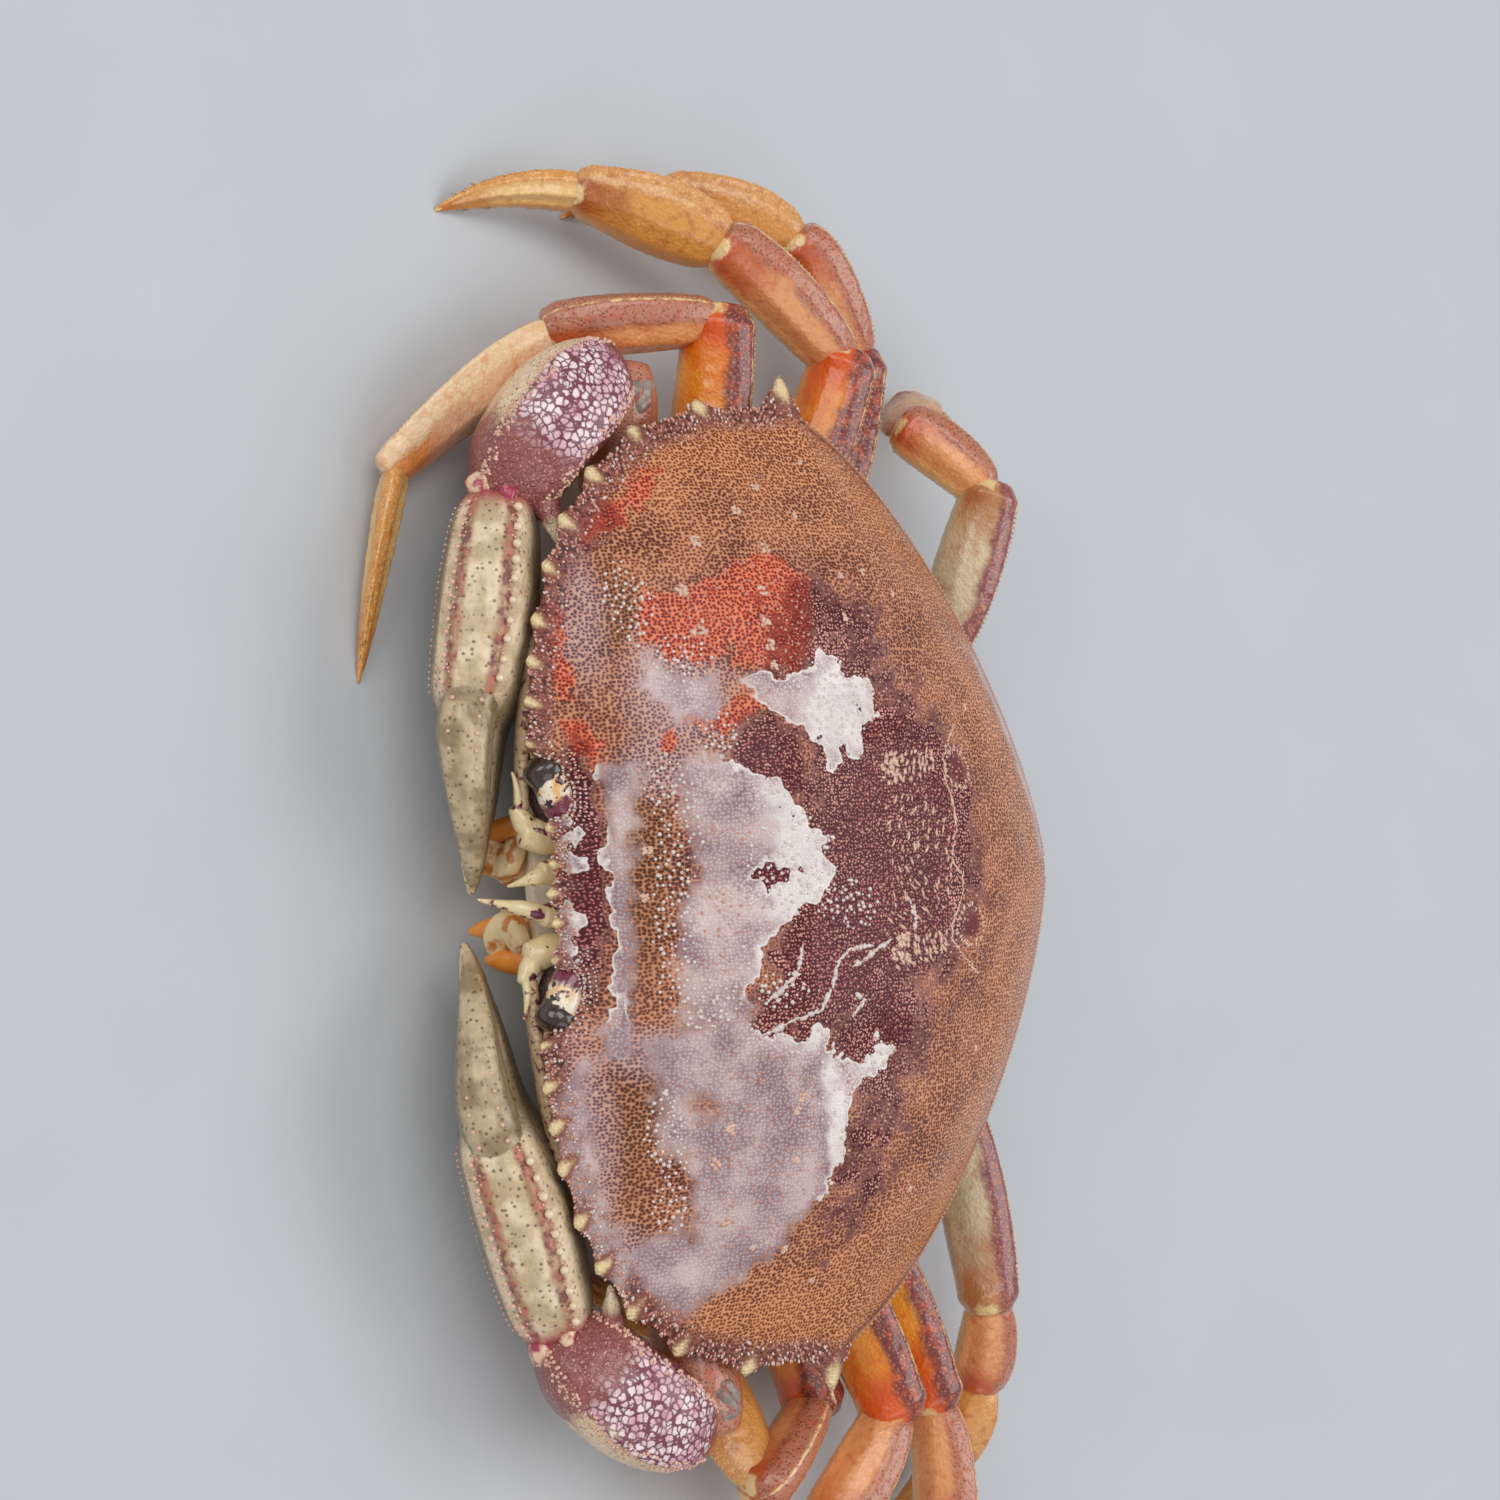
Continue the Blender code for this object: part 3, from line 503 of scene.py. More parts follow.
# Where the painted sheen turns white: painted highlights.
SHEEN_HIGHLIGHTS = ((-27, -7, 9, 9, 0), (-10, -18, 11, 5, 18), (3, -15.5, 8, 5, 0), (12, -23.5, 4, 4, 0),
          (0, -19, 11, 5.5, 0), (0, -49.5, 6, 0.8, 0), (-4, -47, 16, 1.2, 4), (28, -4, 4, 4, 0),
          (24, -17, 3, 5, 0), (40, -11.5, 14, 2.2, 8))
OCHRE = ((-45, -42, 8, 5, 0), (-6, -40.5, 22, 3.6, 0), (38, -43.5, 14, 4.4, 0))
MAROON = ((-6, 1, 32, 21, 0), (-38, -8, 15, 14, 0), (27, -3, 14, 12, 0), (-19, -22, 9, 7, 0),
          (22, -20, 7, 9, 0), (12, -12, 16, 13, 0), (-4, -49, 24, 3.4, 0), (-58, -42, 9, 3.4, -40),
          (46, -5, 17, 8, -20), (-1, -22, 5, 6, 0))
# Lilac-grey painted sheen over the freckles, where the wet shell mirrors the sky.
LILAC_SHEEN = ((-45, -46.5, 14, 4.6, 0), (-31, -34, 12, 9, 0), (-20, -38, 7, 6, 0), (40, -49, 22, 5, 6),
         (60, -42, 10, 6, 40), (26, -41, 5, 7, 0))
DARK_SPOTS = ((-17.6, 17.2, 2.7, 2.6, 0), (9.0, 16.8, 2.7, 2.6, 0))


def zones_of_shell(mesh, share, tip):
    """The colour maps of the shell: reds, the painted reflection in its water, and marks."""
    x, y = crab_places(mesh)
    rear = np.clip((y + 6) / 36, 0, 1) + np.clip((np.abs(x) - 46) / 26, 0, 1)
    tan = np.clip(rear * np.clip((share - 0.3) / 0.45, 0, 1), 0, 1)
    ochre = np.clip(patches(x, y, OCHRE) * 1.6 + 0.3, 0, 1)
    maroon = np.clip(patches(x, y, MAROON) * 1.5 + 0.3, 0, 1) * (1 - ochre)
    maroon *= np.clip(1.3 - np.abs(x + 4) / 60, 0.55, 1)
    paint_zones(mesh, "reds", within(x, y, ORANGE), tan, maroon)
    # The wet sheen: a painted reflection of the sky on the water, which also makes the shell smoother.
    wet_sheen = within(x, y, WET_SHEENS)
    wet_sheen = np.minimum(wet_sheen, -within(x, y, HOLES))
    # A band of painted reflection along the hind rim.
    hind_sheen = np.minimum((share - 0.885) * BACK_REACH,
            np.minimum(x + 38, -3 - x)) - 99 * (y < 20)
    wet_sheen = np.maximum(wet_sheen, hind_sheen)
    # The water map: the painted sheen, its painted highlights and the ochre of the front.
    paint_zones(mesh, "water", wet_sheen, patches(x, y, SHEEN_HIGHLIGHTS), ochre)
    band = np.clip((share - 0.94) / 0.03, 0, 1) * (y < 4) * (share <= 1.0)
    # The marks map: tooth tips, the dark front band and the lilac painted sheen.
    paint_zones(mesh, "marks", np.maximum(tip, 0), band,
                np.clip(patches(x, y, LILAC_SHEEN) * 1.6 + 0.2, 0, 1))
    paint_zones(mesh, "spots", patches(x, y, DARK_SPOTS), np.clip(share - 1, 0, 1),
                np.clip((share - 0.94) / 0.06, 0, 1) * (y > 4) * (share <= 1.0))


shell_skin = new_skin("shell_skin")
reds, water, marks, spots = (read_map(name) for name in ("reds", "water", "marks", "spots"))
uneven = ramp(clouds(7.0, 6.0), 0.32, 0.68)
ragged = clouds(3.4, 8.0)
fine = clouds(0.5, 2.0)
flat_cells = {"Vector": Brush.place, "Scale": MM / 0.60, "Randomness": 0.72}
cells = add_node("TexVoronoi", flat_cells, voronoi_dimensions="2D")[0]
crowding = uneven * 0.1 + (clouds(2.0) * 0.22 + 0.06)
dots = ramp(crowding + cells, 0.4, 0.76, 1.0, 0.0)
beads = ramp(cells - crowding, -0.08, 0.12, 1.0, 0.0)
wobble = cells * 0.2 + ragged - 0.57
maroon = ramp(wobble * 1.8 + reds[2], 0.25, 0.75)
dots = dots * (1.0 - maroon) + (1.0 - beads) * maroon
orange = ramp(wobble * 7.0 + reds[0], -0.5, 0.5)
# The painted reflection of the sky in the water: lilac-grey, white in its highlights and at its rim.
sheen_edge = clouds(3.6, 1.6) * 5.0 + (water[0] - 3.3)
sheen_edge = clouds(1.3, 0.0) * 1.6 + sheen_edge
crisp = ramp(water[1], -1.3, -0.6)
wet_sheen = ramp(sheen_edge, 0.0, 0.16) * crisp
wet_sheen = wet_sheen + ramp(sheen_edge, -1.6, 1.8) * (1.0 - crisp)
# How white the painted reflection is: its painted highlights and the highlight along its crisp rim.
sheen_highlight = ramp(wobble * 1.6 + water[1], -0.25, 0.5)
sheen_rim = ramp(sheen_edge, 0.9, 0.3) * crisp
highlight_share = sums("MAXIMUM", sheen_highlight, sheen_rim)
ground = blend(uneven, tone(154, 80, 54), tone(212, 134, 94))
speck = blend(uneven, tone(82, 32, 24), tone(118, 60, 44))
pale_rows = ramp(clouds(8.0, 2.0) * -1.4 + reds[2], 0.34, -0.14)
maroon_light = blend(pale_rows, tone(198, 112, 112), tone(252, 178, 164))
# Zones of colour; the marks[2] pair is the lilac-grey painted sheen.
for share, light, dark in ((reds[1], tone(232, 148, 92), tone(114, 50, 28)),
                           (maroon, maroon_light, tone(84, 8, 16)),
                           (water[2], tone(160, 92, 46), tone(84, 40, 16)),
                           (marks[2], tone(204, 160, 156), tone(116, 72, 76)),
                           (orange, tone(236, 100, 62), tone(124, 28, 18))):
    ground = blend(share, ground, light)
    speck = blend(share, speck, dark)
pits = ramp(cells, 0.4, 0.66) * (1.0 - maroon)
ground = blend(pits * 0.42, ground, tone(240, 182, 144))
freckled = blend(dots, ground, speck)
# The lilac-grey of the painted reflection, with pale beads and darker gaps.
sheen_lilac = blend(uneven, tone(166, 140, 148), tone(214, 190, 186))
sheen_lilac = blend(beads * 0.6, sheen_lilac, tone(244, 230, 224))
gaps = ramp(cells, 0.42, 0.62) * (1.0 - uneven)
sheen_lilac = blend(gaps * 0.6, sheen_lilac, tone(116, 78, 84))
# The white of the painted highlight, with paler points and dark flecks.
white = blend(ragged, tone(216, 200, 196), tone(250, 240, 228))
white = blend(beads * 0.5, white, tone(255, 252, 246))
flecks = ramp(clouds(1.6, 4.0), 0.68, 0.71)
white = blend(flecks, white, tone(70, 34, 38))
sheen_colour = blend(highlight_share, sheen_lilac, white)
sheen_share = wet_sheen * (highlight_share * 0.14 + 0.84)
colour = blend(sheen_share, freckled, sheen_colour)
band = sums("MAXIMUM", marks[1], ramp(spots[2], 0.3, 0.7))
band_colour = blend(ramp(clouds(1.2, 4.0), 0.36, 0.64), tone(70, 24, 30), tone(158, 92, 84))
band_share = band * (wet_sheen * -0.6 + 0.85)
colour = blend(band_share, colour, band_colour)
colour = blend(ramp(spots[2], 0.74, 0.86), colour, blend(ragged, tone(168, 108, 56),
        tone(226, 172, 104)))
colour = blend(ramp(spots[0], 0.0, 0.5), colour, tone(116, 44, 44))
tip_edge = wobble * 0.6 + marks[0]
colour = blend(ramp(tip_edge, 0.26, 0.5), colour, tone(146, 86, 70))
colour = blend(ramp(tip_edge, 0.46, 0.8), colour, tone(244, 216, 164))
under = ramp(spots[1], 0.0, 0.05)
colour = blend(under, colour, blend(uneven, tone(190, 158, 128), tone(216, 192, 156)))
dress(Base_Color=colour)
rough = wet_sheen * -0.16 + 0.34
dress(Roughness=dots * 0.1 + rough, Specular_IOR_Level=0.35, Coat_Weight=0.18, Coat_Roughness=0.16)
dry = wet_sheen * -0.8 + 1.0
height = (cells + fine * 0.5) * dry
relief(wet_sheen * 0.6 + height, 0.24)

shell = settle(bm, "shell", shell_skin, ["carapace"])
layers = {}
for name in ("share", "tip"):
    values = np.empty(len(shell.data.vertices), np.float32)
    shell.data.attributes[name].data.foreach_get("value", values)
    layers[name] = values
zones_of_shell(shell.data, layers["share"], layers["tip"])

# The granules of the shell
# Hard white and pink grains stand out of the shell: thick in front of the middle, loose over its
# crown, and crowded along its toothed edge. They are part of the shell and wear to pale points.


class Heap:
    """Hundreds of small shapes gathered into one mesh, which is slow to add to once it is large."""

    def __init__(self):
        self.gathered, self.fresh = bmesh.new(), bmesh.new()

    def room(self):
        return self.whole() and self.fresh if len(self.fresh.verts) > 1500 else self.fresh

    def whole(self):
        carrier = bpy.data.meshes.new("carrier")
        self.fresh.to_mesh(carrier)
        self.gathered.from_mesh(carrier)
        bpy.data.meshes.remove(carrier)
        self.fresh.clear()
        return self.gathered


def on_shell(x, y):
    """The place on the shell over x and y, and the way it faces."""

    def at(px, py):
        angle = math.atan2(py, px)
        low, high = 0.0, 1.0
        for _ in range(12):
            share = (low + high) / 2
            out = (rim_reach(angle) - rim_notch(angle) * share ** 8) * share
            low, high = (share, high) if out < math.hypot(px, py) else (low, share)
        return Vector((px, py, shell_top(angle, share).z))
    here = at(x, y)
    facing = (at(x + 0.5, y) - here).cross(at(x, y + 0.5) - here).normalized()
    return here, facing


def grain(heap, place, way, radii, fineness=1):
    """A rounded grain, its third radius along the way it points."""
    turn = Vector(way).to_track_quat("Z", "Y").to_matrix()
    made = bmesh.ops.create_icosphere(heap.room(), subdivisions=fineness, radius=1.0)["verts"]
    for vert in made:
        vert.co = place + turn @ Vector((vert.co.x * radii[0], vert.co.y * radii[1],
                vert.co.z * radii[2]))


def grain_skin(name, low, high):
    made = new_skin(name)
    dress(Base_Color=blend(clouds(2.0), low, high), Roughness=0.3, Coat_Weight=0.4)
    relief(clouds(0.4), 0.03)
    return made


white_grain = grain_skin("white_grain", tone(216, 192, 186), tone(248, 238, 226))
pink_grain = grain_skin("pink_grain", tone(196, 124, 110), tone(232, 182, 158))
THICK = ((-46, -39, 8, 4, 0), (-13, -36.5, 10, 3.6, 10), (4, -37, 20, 3.2, -4), (19, -33, 5, 5, 0),
         (-1.5, -22, 4, 5, 0), (40, -38, 10, 3.4, 8), (50, -37, 6, 3.4, 0), (4, -9, 5, 7, 0),
         (-24, -29, 4, 4, 0), (-36, -33, 5, 5, 0), (17, -22, 4, 5, 0))
LOOSE = ((-43, -23, 14, 17, 0), (0, -28, 30, 12, 0), (40, -24, 30, 15, 0), (-40, -46, 16, 5, 0),
         (-6, 0, 60, 30, 0))
dice = random.Random(11)
whites, pinks = Heap(), Heap()
step = 1.22
columns, rows = np.meshgrid(np.arange(-60, 61), np.arange(-44, 34))
spread = np.random.default_rng(11)
x = (columns + 0.5 * (rows % 2)) * step + spread.uniform(-0.5, 0.5, rows.shape)
y = rows * step * 0.87 + spread.uniform(-0.45, 0.45, rows.shape)
thick = np.clip(patches(x, y, THICK) * 3.2, 0, 1)
loose = np.clip(patches(x, y, LOOSE), 0, 0.4) + np.clip(patches(x, y, MAROON), 0, 0.4) + 0.03
# Grains inside the white of the sheen are all made white: painted glints.
sheen_glint = (within(x, y, WET_SHEENS) > 0) & (patches(x, y, SHEEN_HIGHLIGHTS) > -0.4)
for x, y, thick, loose, sheen_glint in zip(x.flat, y.flat, thick.flat, loose.flat, sheen_glint.flat):
    chance, size = dice.random(), dice.uniform(0.62, 1.2)
    angle = math.atan2(y, x)
    if math.hypot(x, y) > 0.93 * (rim_reach(angle) - rim_notch(angle)) or chance > max(thick,
            loose):
        continue
    here, facing = on_shell(x, y)
    if chance < thick or sheen_glint:
        grain(whites, here, facing, (0.36 * size, 0.36 * size, 0.3 * size))
    else:
        grain(pinks, here, facing, (0.27 * size, 0.27 * size, 0.22 * size))

# The short stiff grains of the toothed edge and of the eye sockets, and the beaded hind edge
for side in (-1, 1):
    for n in range(1150):
        angle = -math.pi / 2 + side * dice.uniform(0.0, 1.62)
        share = 1.0 - 0.055 * dice.random() ** 1.6
        here = shell_top(angle, share)
        push, near = tooth_push(shell_top(angle, 1.0))
        if near > 0.55 and share > 0.975:
            continue
        here += push * share ** 26
        way = Vector((here.x / HALF_WIDTH, here.y / FRONT_REACH,
                      0.3 + 10 * (1 - share))).normalized()
        size = dice.uniform(0.6, 1.15)
        grain(whites if dice.random() < 0.22 else pinks, here, way,
              (0.25 * size, 0.25 * size, 0.5 * size))
    for row, share in enumerate((0.995, 0.975, 0.953, 0.93, 0.908)):
        for n in range(17):
            angle = -math.pi / 2 + side * (0.19 + n * 0.0145 + dice.uniform(-0.002, 0.002))
            here = shell_top(angle, share)
            way = Vector((here.x * 0.4 / HALF_WIDTH, here.y / FRONT_REACH, 0.8)).normalized()
            size = 1.15 - 0.14 * row
            grain(whites, here, way, (0.34 * size, 0.34 * size, 0.5 * size))
    for n in range(118):
        angle = math.pi / 2 - side * (0.04 + n * 0.0125)
        grain(pinks, shell_top(angle, 1.0), (0, 0, 1), (0.34, 0.34, 0.34))
settle(whites.whole(), "white_grains", white_grain)
settle(pinks.whole(), "pink_grains", pink_grain)

# The pale marks of the shell
# Over the stomach and heart the muscles inside leave marks on the shell: two combs of short pale
# strokes joined by a fine curve, and scattered pale scars.
scar_skin = grain_skin("scar_skin", tone(216, 158, 142), tone(246, 216, 186))
scars = Heap()


def stroke(heap, x, y, lean, length, width):
    """A pale stroke lying flat on the shell."""
    here, facing = on_shell(x, y)
    run = Vector((math.cos(math.radians(lean)), math.sin(math.radians(lean)), 0))
    run = (run - facing * run.dot(facing)).normalized()
    turn = Matrix((run, facing.cross(run), facing)).transposed()
    for vert in bmesh.ops.create_icosphere(heap.room(), subdivisions=1, radius=1.0)["verts"]:
        vert.co = here + turn @ Vector((vert.co.x * length / 2, vert.co.y * width / 2,
                vert.co.z * 0.12))


def trail(heap, line, thin, swell):
    """A broken line of short strokes through the places given, thicker between them."""
    for (ax, ay), (bx, by) in zip(line, line[1:]):
        count = int(math.hypot(bx - ax, by - ay) / 0.45) + 1
        for k in range(count):
            share = k / count
            stroke(heap, ax + (bx - ax) * share + dice.uniform(-0.2, 0.2),
                   ay + (by - ay) * share + dice.uniform(-0.2, 0.2),
                   math.degrees(math.atan2(by - ay, bx - ax)) + dice.uniform(-30, 30),
                   dice.uniform(0.6, 1.6), dice.uniform(0.25,
                    thin + swell * math.sin(math.pi * share) ** 4))


for side, middle in ((-1, -17.8), (1, 12.4)):
    for k in range(10):
        for row in (-1.5, -0.5, 0.5, 1.5):
            spread = 1.5 - 0.06 * k
            stroke(scars, middle + row * spread + dice.uniform(-0.4, 0.4) - 0.015 * k * k,
                   0.6 + k * 1.15 + dice.uniform(-0.35, 0.35),
                   24 * side + 12 * row + dice.uniform(-25, 25), dice.uniform(1.1, 1.9),
                   0.85 if k < 4 else dice.uniform(0.5, 0.8))
    for k in range(17):
        stroke(scars, middle - side * 0.6 + dice.uniform(-2.4, 2.4), 1.2 + dice.uniform(-1.7, 1.7),
               dice.uniform(0, 180), dice.uniform(1.0, 1.8), dice.uniform(0.6, 1.0))
CURVES = (((-13.1, 14.3), (-10.5, 14.4), (-7.3, 14.3), (-4.4, 13.3), (-2, 13.1), (-0.6, 13.8)),
          ((-1.4, 13.2), (0.2, 15.4), (3.3, 15.0), (6.5, 13.6), (8.5, 12.2)),
          ((-13.1, 14.3), (-15.4, 13.6), (-19.2, 13.8), (-22, 16), (-25, 19.6)),
          ((8.5, 12.2), (11.2, 12.4), (14, 15.4), (17.4, 20.4)))
for curve in CURVES:
    trail(scars, curve, 0.42, 0.3)
for k in range(8):
    for row in range(-6, 7):
        if dice.random() < 0.35:
            continue
        x, y = -2.4 + row * (1.75 - 0.05 * k), 1.0 + k * 1.6 - 0.05 * row * row
        stroke(scars, x + dice.uniform(-0.8, 0.8), y + dice.uniform(-0.8, 0.8),
               7 * row + dice.uniform(-28, 28), dice.uniform(0.9, 2.2), dice.uniform(0.36, 0.66))
for middle_x, middle_y, half_x, half_y, _ in DARK_SPOTS:
    for k in range(30):
        turn = math.radians(k * 12 + dice.uniform(-5, 5))
        away = dice.uniform(1.1, 1.35)
        stroke(scars, middle_x + half_x * away * math.cos(turn),
               middle_y + half_y * away * math.sin(turn),
               math.degrees(turn) + dice.uniform(-30, 30), dice.uniform(0.7, 1.3),
               dice.uniform(0.4, 0.65))
SCARS = ((-61, -18.7, 1.1, 90), (-56, -27.2, 1.5, 40), (-65.4, -13.3, 1.1, 90),
         (-47.6, -31.2, 1.4, 35), (-54.5, -15.9, 1.2, 80), (-47.3, -18.6, 1.3, 80),
         (-41.8, -29.7, 2.2, 60), (-42.3, -19.2, 1.3, 80), (-38.2, -19.1, 1.3, 80),
         (-35, -19, 1.2, 80), (-70.4, -1.8, 0.8, 80), (-60.5, -7.7, 0.9, 80),
         (39.3, -28.9, 1.8, 90), (44.4, -30.8, 1.4, 60), (34.7, -17.9, 1.1, 80),
         (36.6, -18.7, 1.0, 80), (44.7, -18.2, 1.0, 90), (53.7, -28.1, 1.3, 90),
         (58.5, -23.2, 1.0, 60), (59.6, -17.6, 0.9, 80), (65.6, -10.2, 0.8, 80),
         (-6.2, -40.4, 1.2, 90), (1.2, -40.9, 1.1, 90), (-50.6, 1.9, 0.8, 80),
         (-42.8, -4.1, 0.9, 80), (-50, -3, 0.8, 80), (-47, 8, 0.7, 80), (52, 6, 0.7, 80),
         (30, 22, 0.7, 80), (-28, 24, 0.7, 80))
for x, y, size, lean in SCARS:
    for k in range(9):
        stroke(scars, x + dice.uniform(-1, 1) * size * 0.6, y + dice.uniform(-1, 1) * size * 0.5,
               lean + dice.uniform(-60, 60), size * dice.uniform(0.5, 1.1), dice.uniform(0.5, 0.9))
settle(scars.whole(), "shell_scars", scar_skin)

# The raised lip of the water, a painted highlight
# The film of water ends in a white lip, a painted highlight along its edge made of raised strokes,
# which trails over the heart in thin white threads.
lip_highlights = Heap()
HIGHLIGHT_THREADS = (((11, -5), (11.4, -9.6), (14, -12.4), (17, -13.2), (20.8, -15.7), (22, -20),
            (24.4, -25.6)), ((18.6, -24.2), (16.4, -21.6), (14.1, -19.3), (10, -18.2)),
           ((4, 3.4), (7, 4.6), (9.4, 4.0)), ((10.6, -1.2), (11.4, -3.4), (13.4, -6.6),
        (14.4, -9.4)), ((22, -9), (19.8, -6.6), (18.4, -8.8)))
for thread in HIGHLIGHT_THREADS:
    trail(lip_highlights, thread, 0.6, 1.2)
settle(lip_highlights.whole(), "water_lip_highlights", white_grain)

# The walking legs
# Eight legs of five hollow segments, each flattened, with a bony crest along its upper edge, pale
# knuckles at every hinge and a soft grey skin between. The merus shows an orange face to the front.

MERGE_DISTANCE = 0.003
HIP = ((0, 4.0, 4.4), (0.25, 4.6, 5.4), (0.8, 4.3, 5.4), (1.0, 3.4, 4.2))
MERUS = ((0, 2.8, 3.6), (0.1, 4.0, 5.6), (0.4, 4.5, 6.8), (0.75, 4.6, 6.7), (0.94, 4.8, 5.9),
         (1.0, 4.0, 4.7))
CARPUS = ((0, 2.3, 3.0), (0.12, 3.6, 4.8), (0.45, 4.2, 5.8), (0.85, 4.3, 5.8), (1.0, 3.4, 4.5))
PROPODUS = ((0, 2.1, 3.0), (0.14, 3.0, 5.2), (0.42, 3.4, 6.2), (0.82, 3.0, 5.2), (1.0, 2.4, 3.9))
DACTYL = ((0, 1.7, 2.5), (0.12, 2.2, 3.4), (0.4, 1.9, 3.0), (0.7, 1.35, 2.1), (0.9, 0.8, 1.1),
          (1.0, 0.34, 0.4))
SEGMENTS = (("hip", HIP, 0.0), ("merus", MERUS, 0.6), ("carpus", CARPUS, 0.8),
            ("propodus", PROPODUS, 0.8), ("dactyl", DACTYL, 2.0))
LEGS = {"right_leg_1": (1.0, (-39, -13, 11), (-53.7, -11.6, 13.6), (-96.5, -7.5, 21),
        (-94.5, -34.5, 12), (-72, -62.5, 5), (-36.5, -69, 0.2)),
        "right_leg_2": (1.0, (-41, -1, 11), (-54.7, 4.5, 13.8), (-90.5, 19, 21), (-109.5, -3.4, 20),
        (-118.6, -26.9, 12), (-116.4, -50, 0.2)), "right_leg_3": (0.94, (-39.5, 11, 11),
        (-53.7, 15.8, 11.3), (-93, 29, 12), (-112.5, 15, 16), (-121, -6, 8), (-117.5, -25, 0.2)),
        "right_leg_4": (0.86, (-27, 29, 12), (-37, 39.5, 16), (-68, 48, 25), (-80, 36, 18),
        (-87, 45, 6), (-80, 61, 0.2)), "left_leg_1": (1.0, (39, -13, 11), (52.7, -7.5, 11),
        (91, 8, 11), (102, -9.5, 19.5), (77, -13, 5.6), (63, -35, 0.2)),
        "left_leg_2": (1.0, (41, -1, 11), (54.8, 4.1, 13.7), (92.5, 18, 21), (112, 2, 20),
        (123, -22, 11), (119, -46, 0.2)), "left_leg_3": (0.94, (39.5, 11, 11), (53.6, 15.5, 13.0),
        (93, 29.5, 17.5), (117, 29.5, 19), (136, 20, 9), (142, -1, 0.2)),
        "left_leg_4": (0.86, (27, 28, 12), (38, 38, 16), (77, 41, 21), (92, 44, 13), (109, 39, 6),
        (121, 22, 0.2))}
LEANS = {
    "right_leg_1": ((0, 0.5, 0.87), (-0.75, -0.2, 0.62)),
    "right_leg_2": ((0, 0.5, 0.87), (-0.8, 0.1, 0.6)),
    "right_leg_3": ((0, 0.5, 0.87), (-0.8, 0.1, 0.6)),
    "right_leg_4": ((0, 0.6, 0.8), (-0.3, 0.75, 0.6)),
    "left_leg_1": ((0, 0, 1), (0.4, -0.9, 0.2)),
    "left_leg_2": ((0, 0.5, 0.87), (0.8, 0.1, 0.6)),
    "left_leg_3": ((0, 0.5, 0.87), (0.8, 0.3, 0.6)),
    "left_leg_4": ((0, 0.6, 0.8), (0.3, 0.75, 0.6)),
}


def eased(stations, share):
    """The sizes between stations of (share, size, ...), along one smooth curve."""
    last = len(stations) - 1
    k = 0
    while k < last - 1 and stations[k + 1][0] < share:
        k += 1
    low, high = stations[k], stations[k + 1]
    before, after = stations[max(k - 1, 0)], stations[min(k + 2, last)]
    span = high[0] - low[0]
    t = min(1.0, max(0.0, (share - low[0]) / span))
    found = []
    for c in range(1, len(low)):
        rise_low = (high[c] - before[c]) / (high[0] - before[0]) * span
        rise_high = (after[c] - low[c]) / (after[0] - low[0]) * span
        found.append(low[c] * (2 * t ** 3 - 3 * t ** 2 + 1) + rise_low * (t ** 3 - 2 * t ** 2 + t)
                     + high[c] * (3 * t ** 2 - 2 * t ** 3) + rise_high * (t ** 3 - t ** 2))
    return found


def bell(offset, width):
    """1 at no offset, falling away smoothly on both sides."""
    return math.exp(-(offset / width) ** 2)


def pressed(value, square):
    return math.copysign(abs(value) ** (2 / square), value)


def limb_tube(bm, middle, size, upward, around=40, along=60, cap=1.2, square=2.2, sculpt=None,
              pores=0.05, pale=None, run=None):
    """A closed round-ended tube rolled from a flat sheet, along middle(share), with size(share).

    Its sections stand square to its own line, or to run where that is given."""
    layers = bm.verts.layers.float_color
    skin_map = layers.get("skin_map") or layers.new("skin_map")
    sheet = bmesh.ops.create_grid(bm, x_segments=around, y_segments=along, size=0.5)["verts"]
    ends, rows = 0.06, {}
    for vert in sheet:
        turn, spot = (vert.co.x + 0.5) * math.tau, round(vert.co.y + 0.5, 5)
        if spot not in rows:
            share = min(1.0, max(0.0, (spot - ends) / (1 - 2 * ends)))
            point, step = middle(share), 0.004
            way = run or (middle(min(1.0, share + step))
                          - middle(max(0.0, share - step))).normalized()
            across = way.cross(upward).normalized()
            rounding = min(1.0, spot / ends, (1 - spot) / ends) * math.pi / 2
            side = -1 if spot < 0.5 else 1
            point = point + way * (side * cap * math.cos(rounding))
            rows[spot] = (share, point, across, across.cross(way), math.sin(rounding), size(share))
        share, point, across, top, swell, (half_width, half_height) = rows[spot]
        wide, high = (pressed(math.cos(turn), square) * half_width,
                      pressed(math.sin(turn), square) * half_height)
        if sculpt:
            wide, high = sculpt(turn, share, wide, high)
        out = across * wide + top * high
        skin = noise.noise((point + out) * 0.9) * pores
        vert.co = point + out * swell * (1 + skin / max(out.length, 0.3))
        outward = across * math.cos(turn) + top * math.sin(turn)
        vert[skin_map] = (outward.dot(top) / 2 + 0.5, 0.5 - outward.y / 2, share,
                          pale(turn, share) if pale else 0.0)
    bmesh.ops.remove_doubles(bm, verts=sheet, dist=MERGE_DISTANCE)


def ball(bm, place, radii, axes=None, fineness=2):
    """A rounded lump with its own three directions."""
    made = bmesh.ops.create_icosphere(bm, subdivisions=fineness, radius=1.0)["verts"]
    turn = Matrix(axes).transposed() if axes else Matrix.Identity(3)
    for vert in made:
        vert.co = Vector(place) + turn @ Vector((vert.co.x * radii[0], vert.co.y * radii[1],
                vert.co.z * radii[2]))
    return made


def bristle(heap, root, way, length, width):
    """A bristle, three-sided and drawn to a point."""
    made = bmesh.ops.create_cone(heap.room(), segments=3, radius1=width, radius2=width * 0.15,
            depth=length)["verts"]
    turn = Vector(way).to_track_quat("Z", "Y").to_matrix()
    for vert in made:
        vert.co = Vector(root) + turn @ (vert.co + Vector((0, 0, length / 2)))


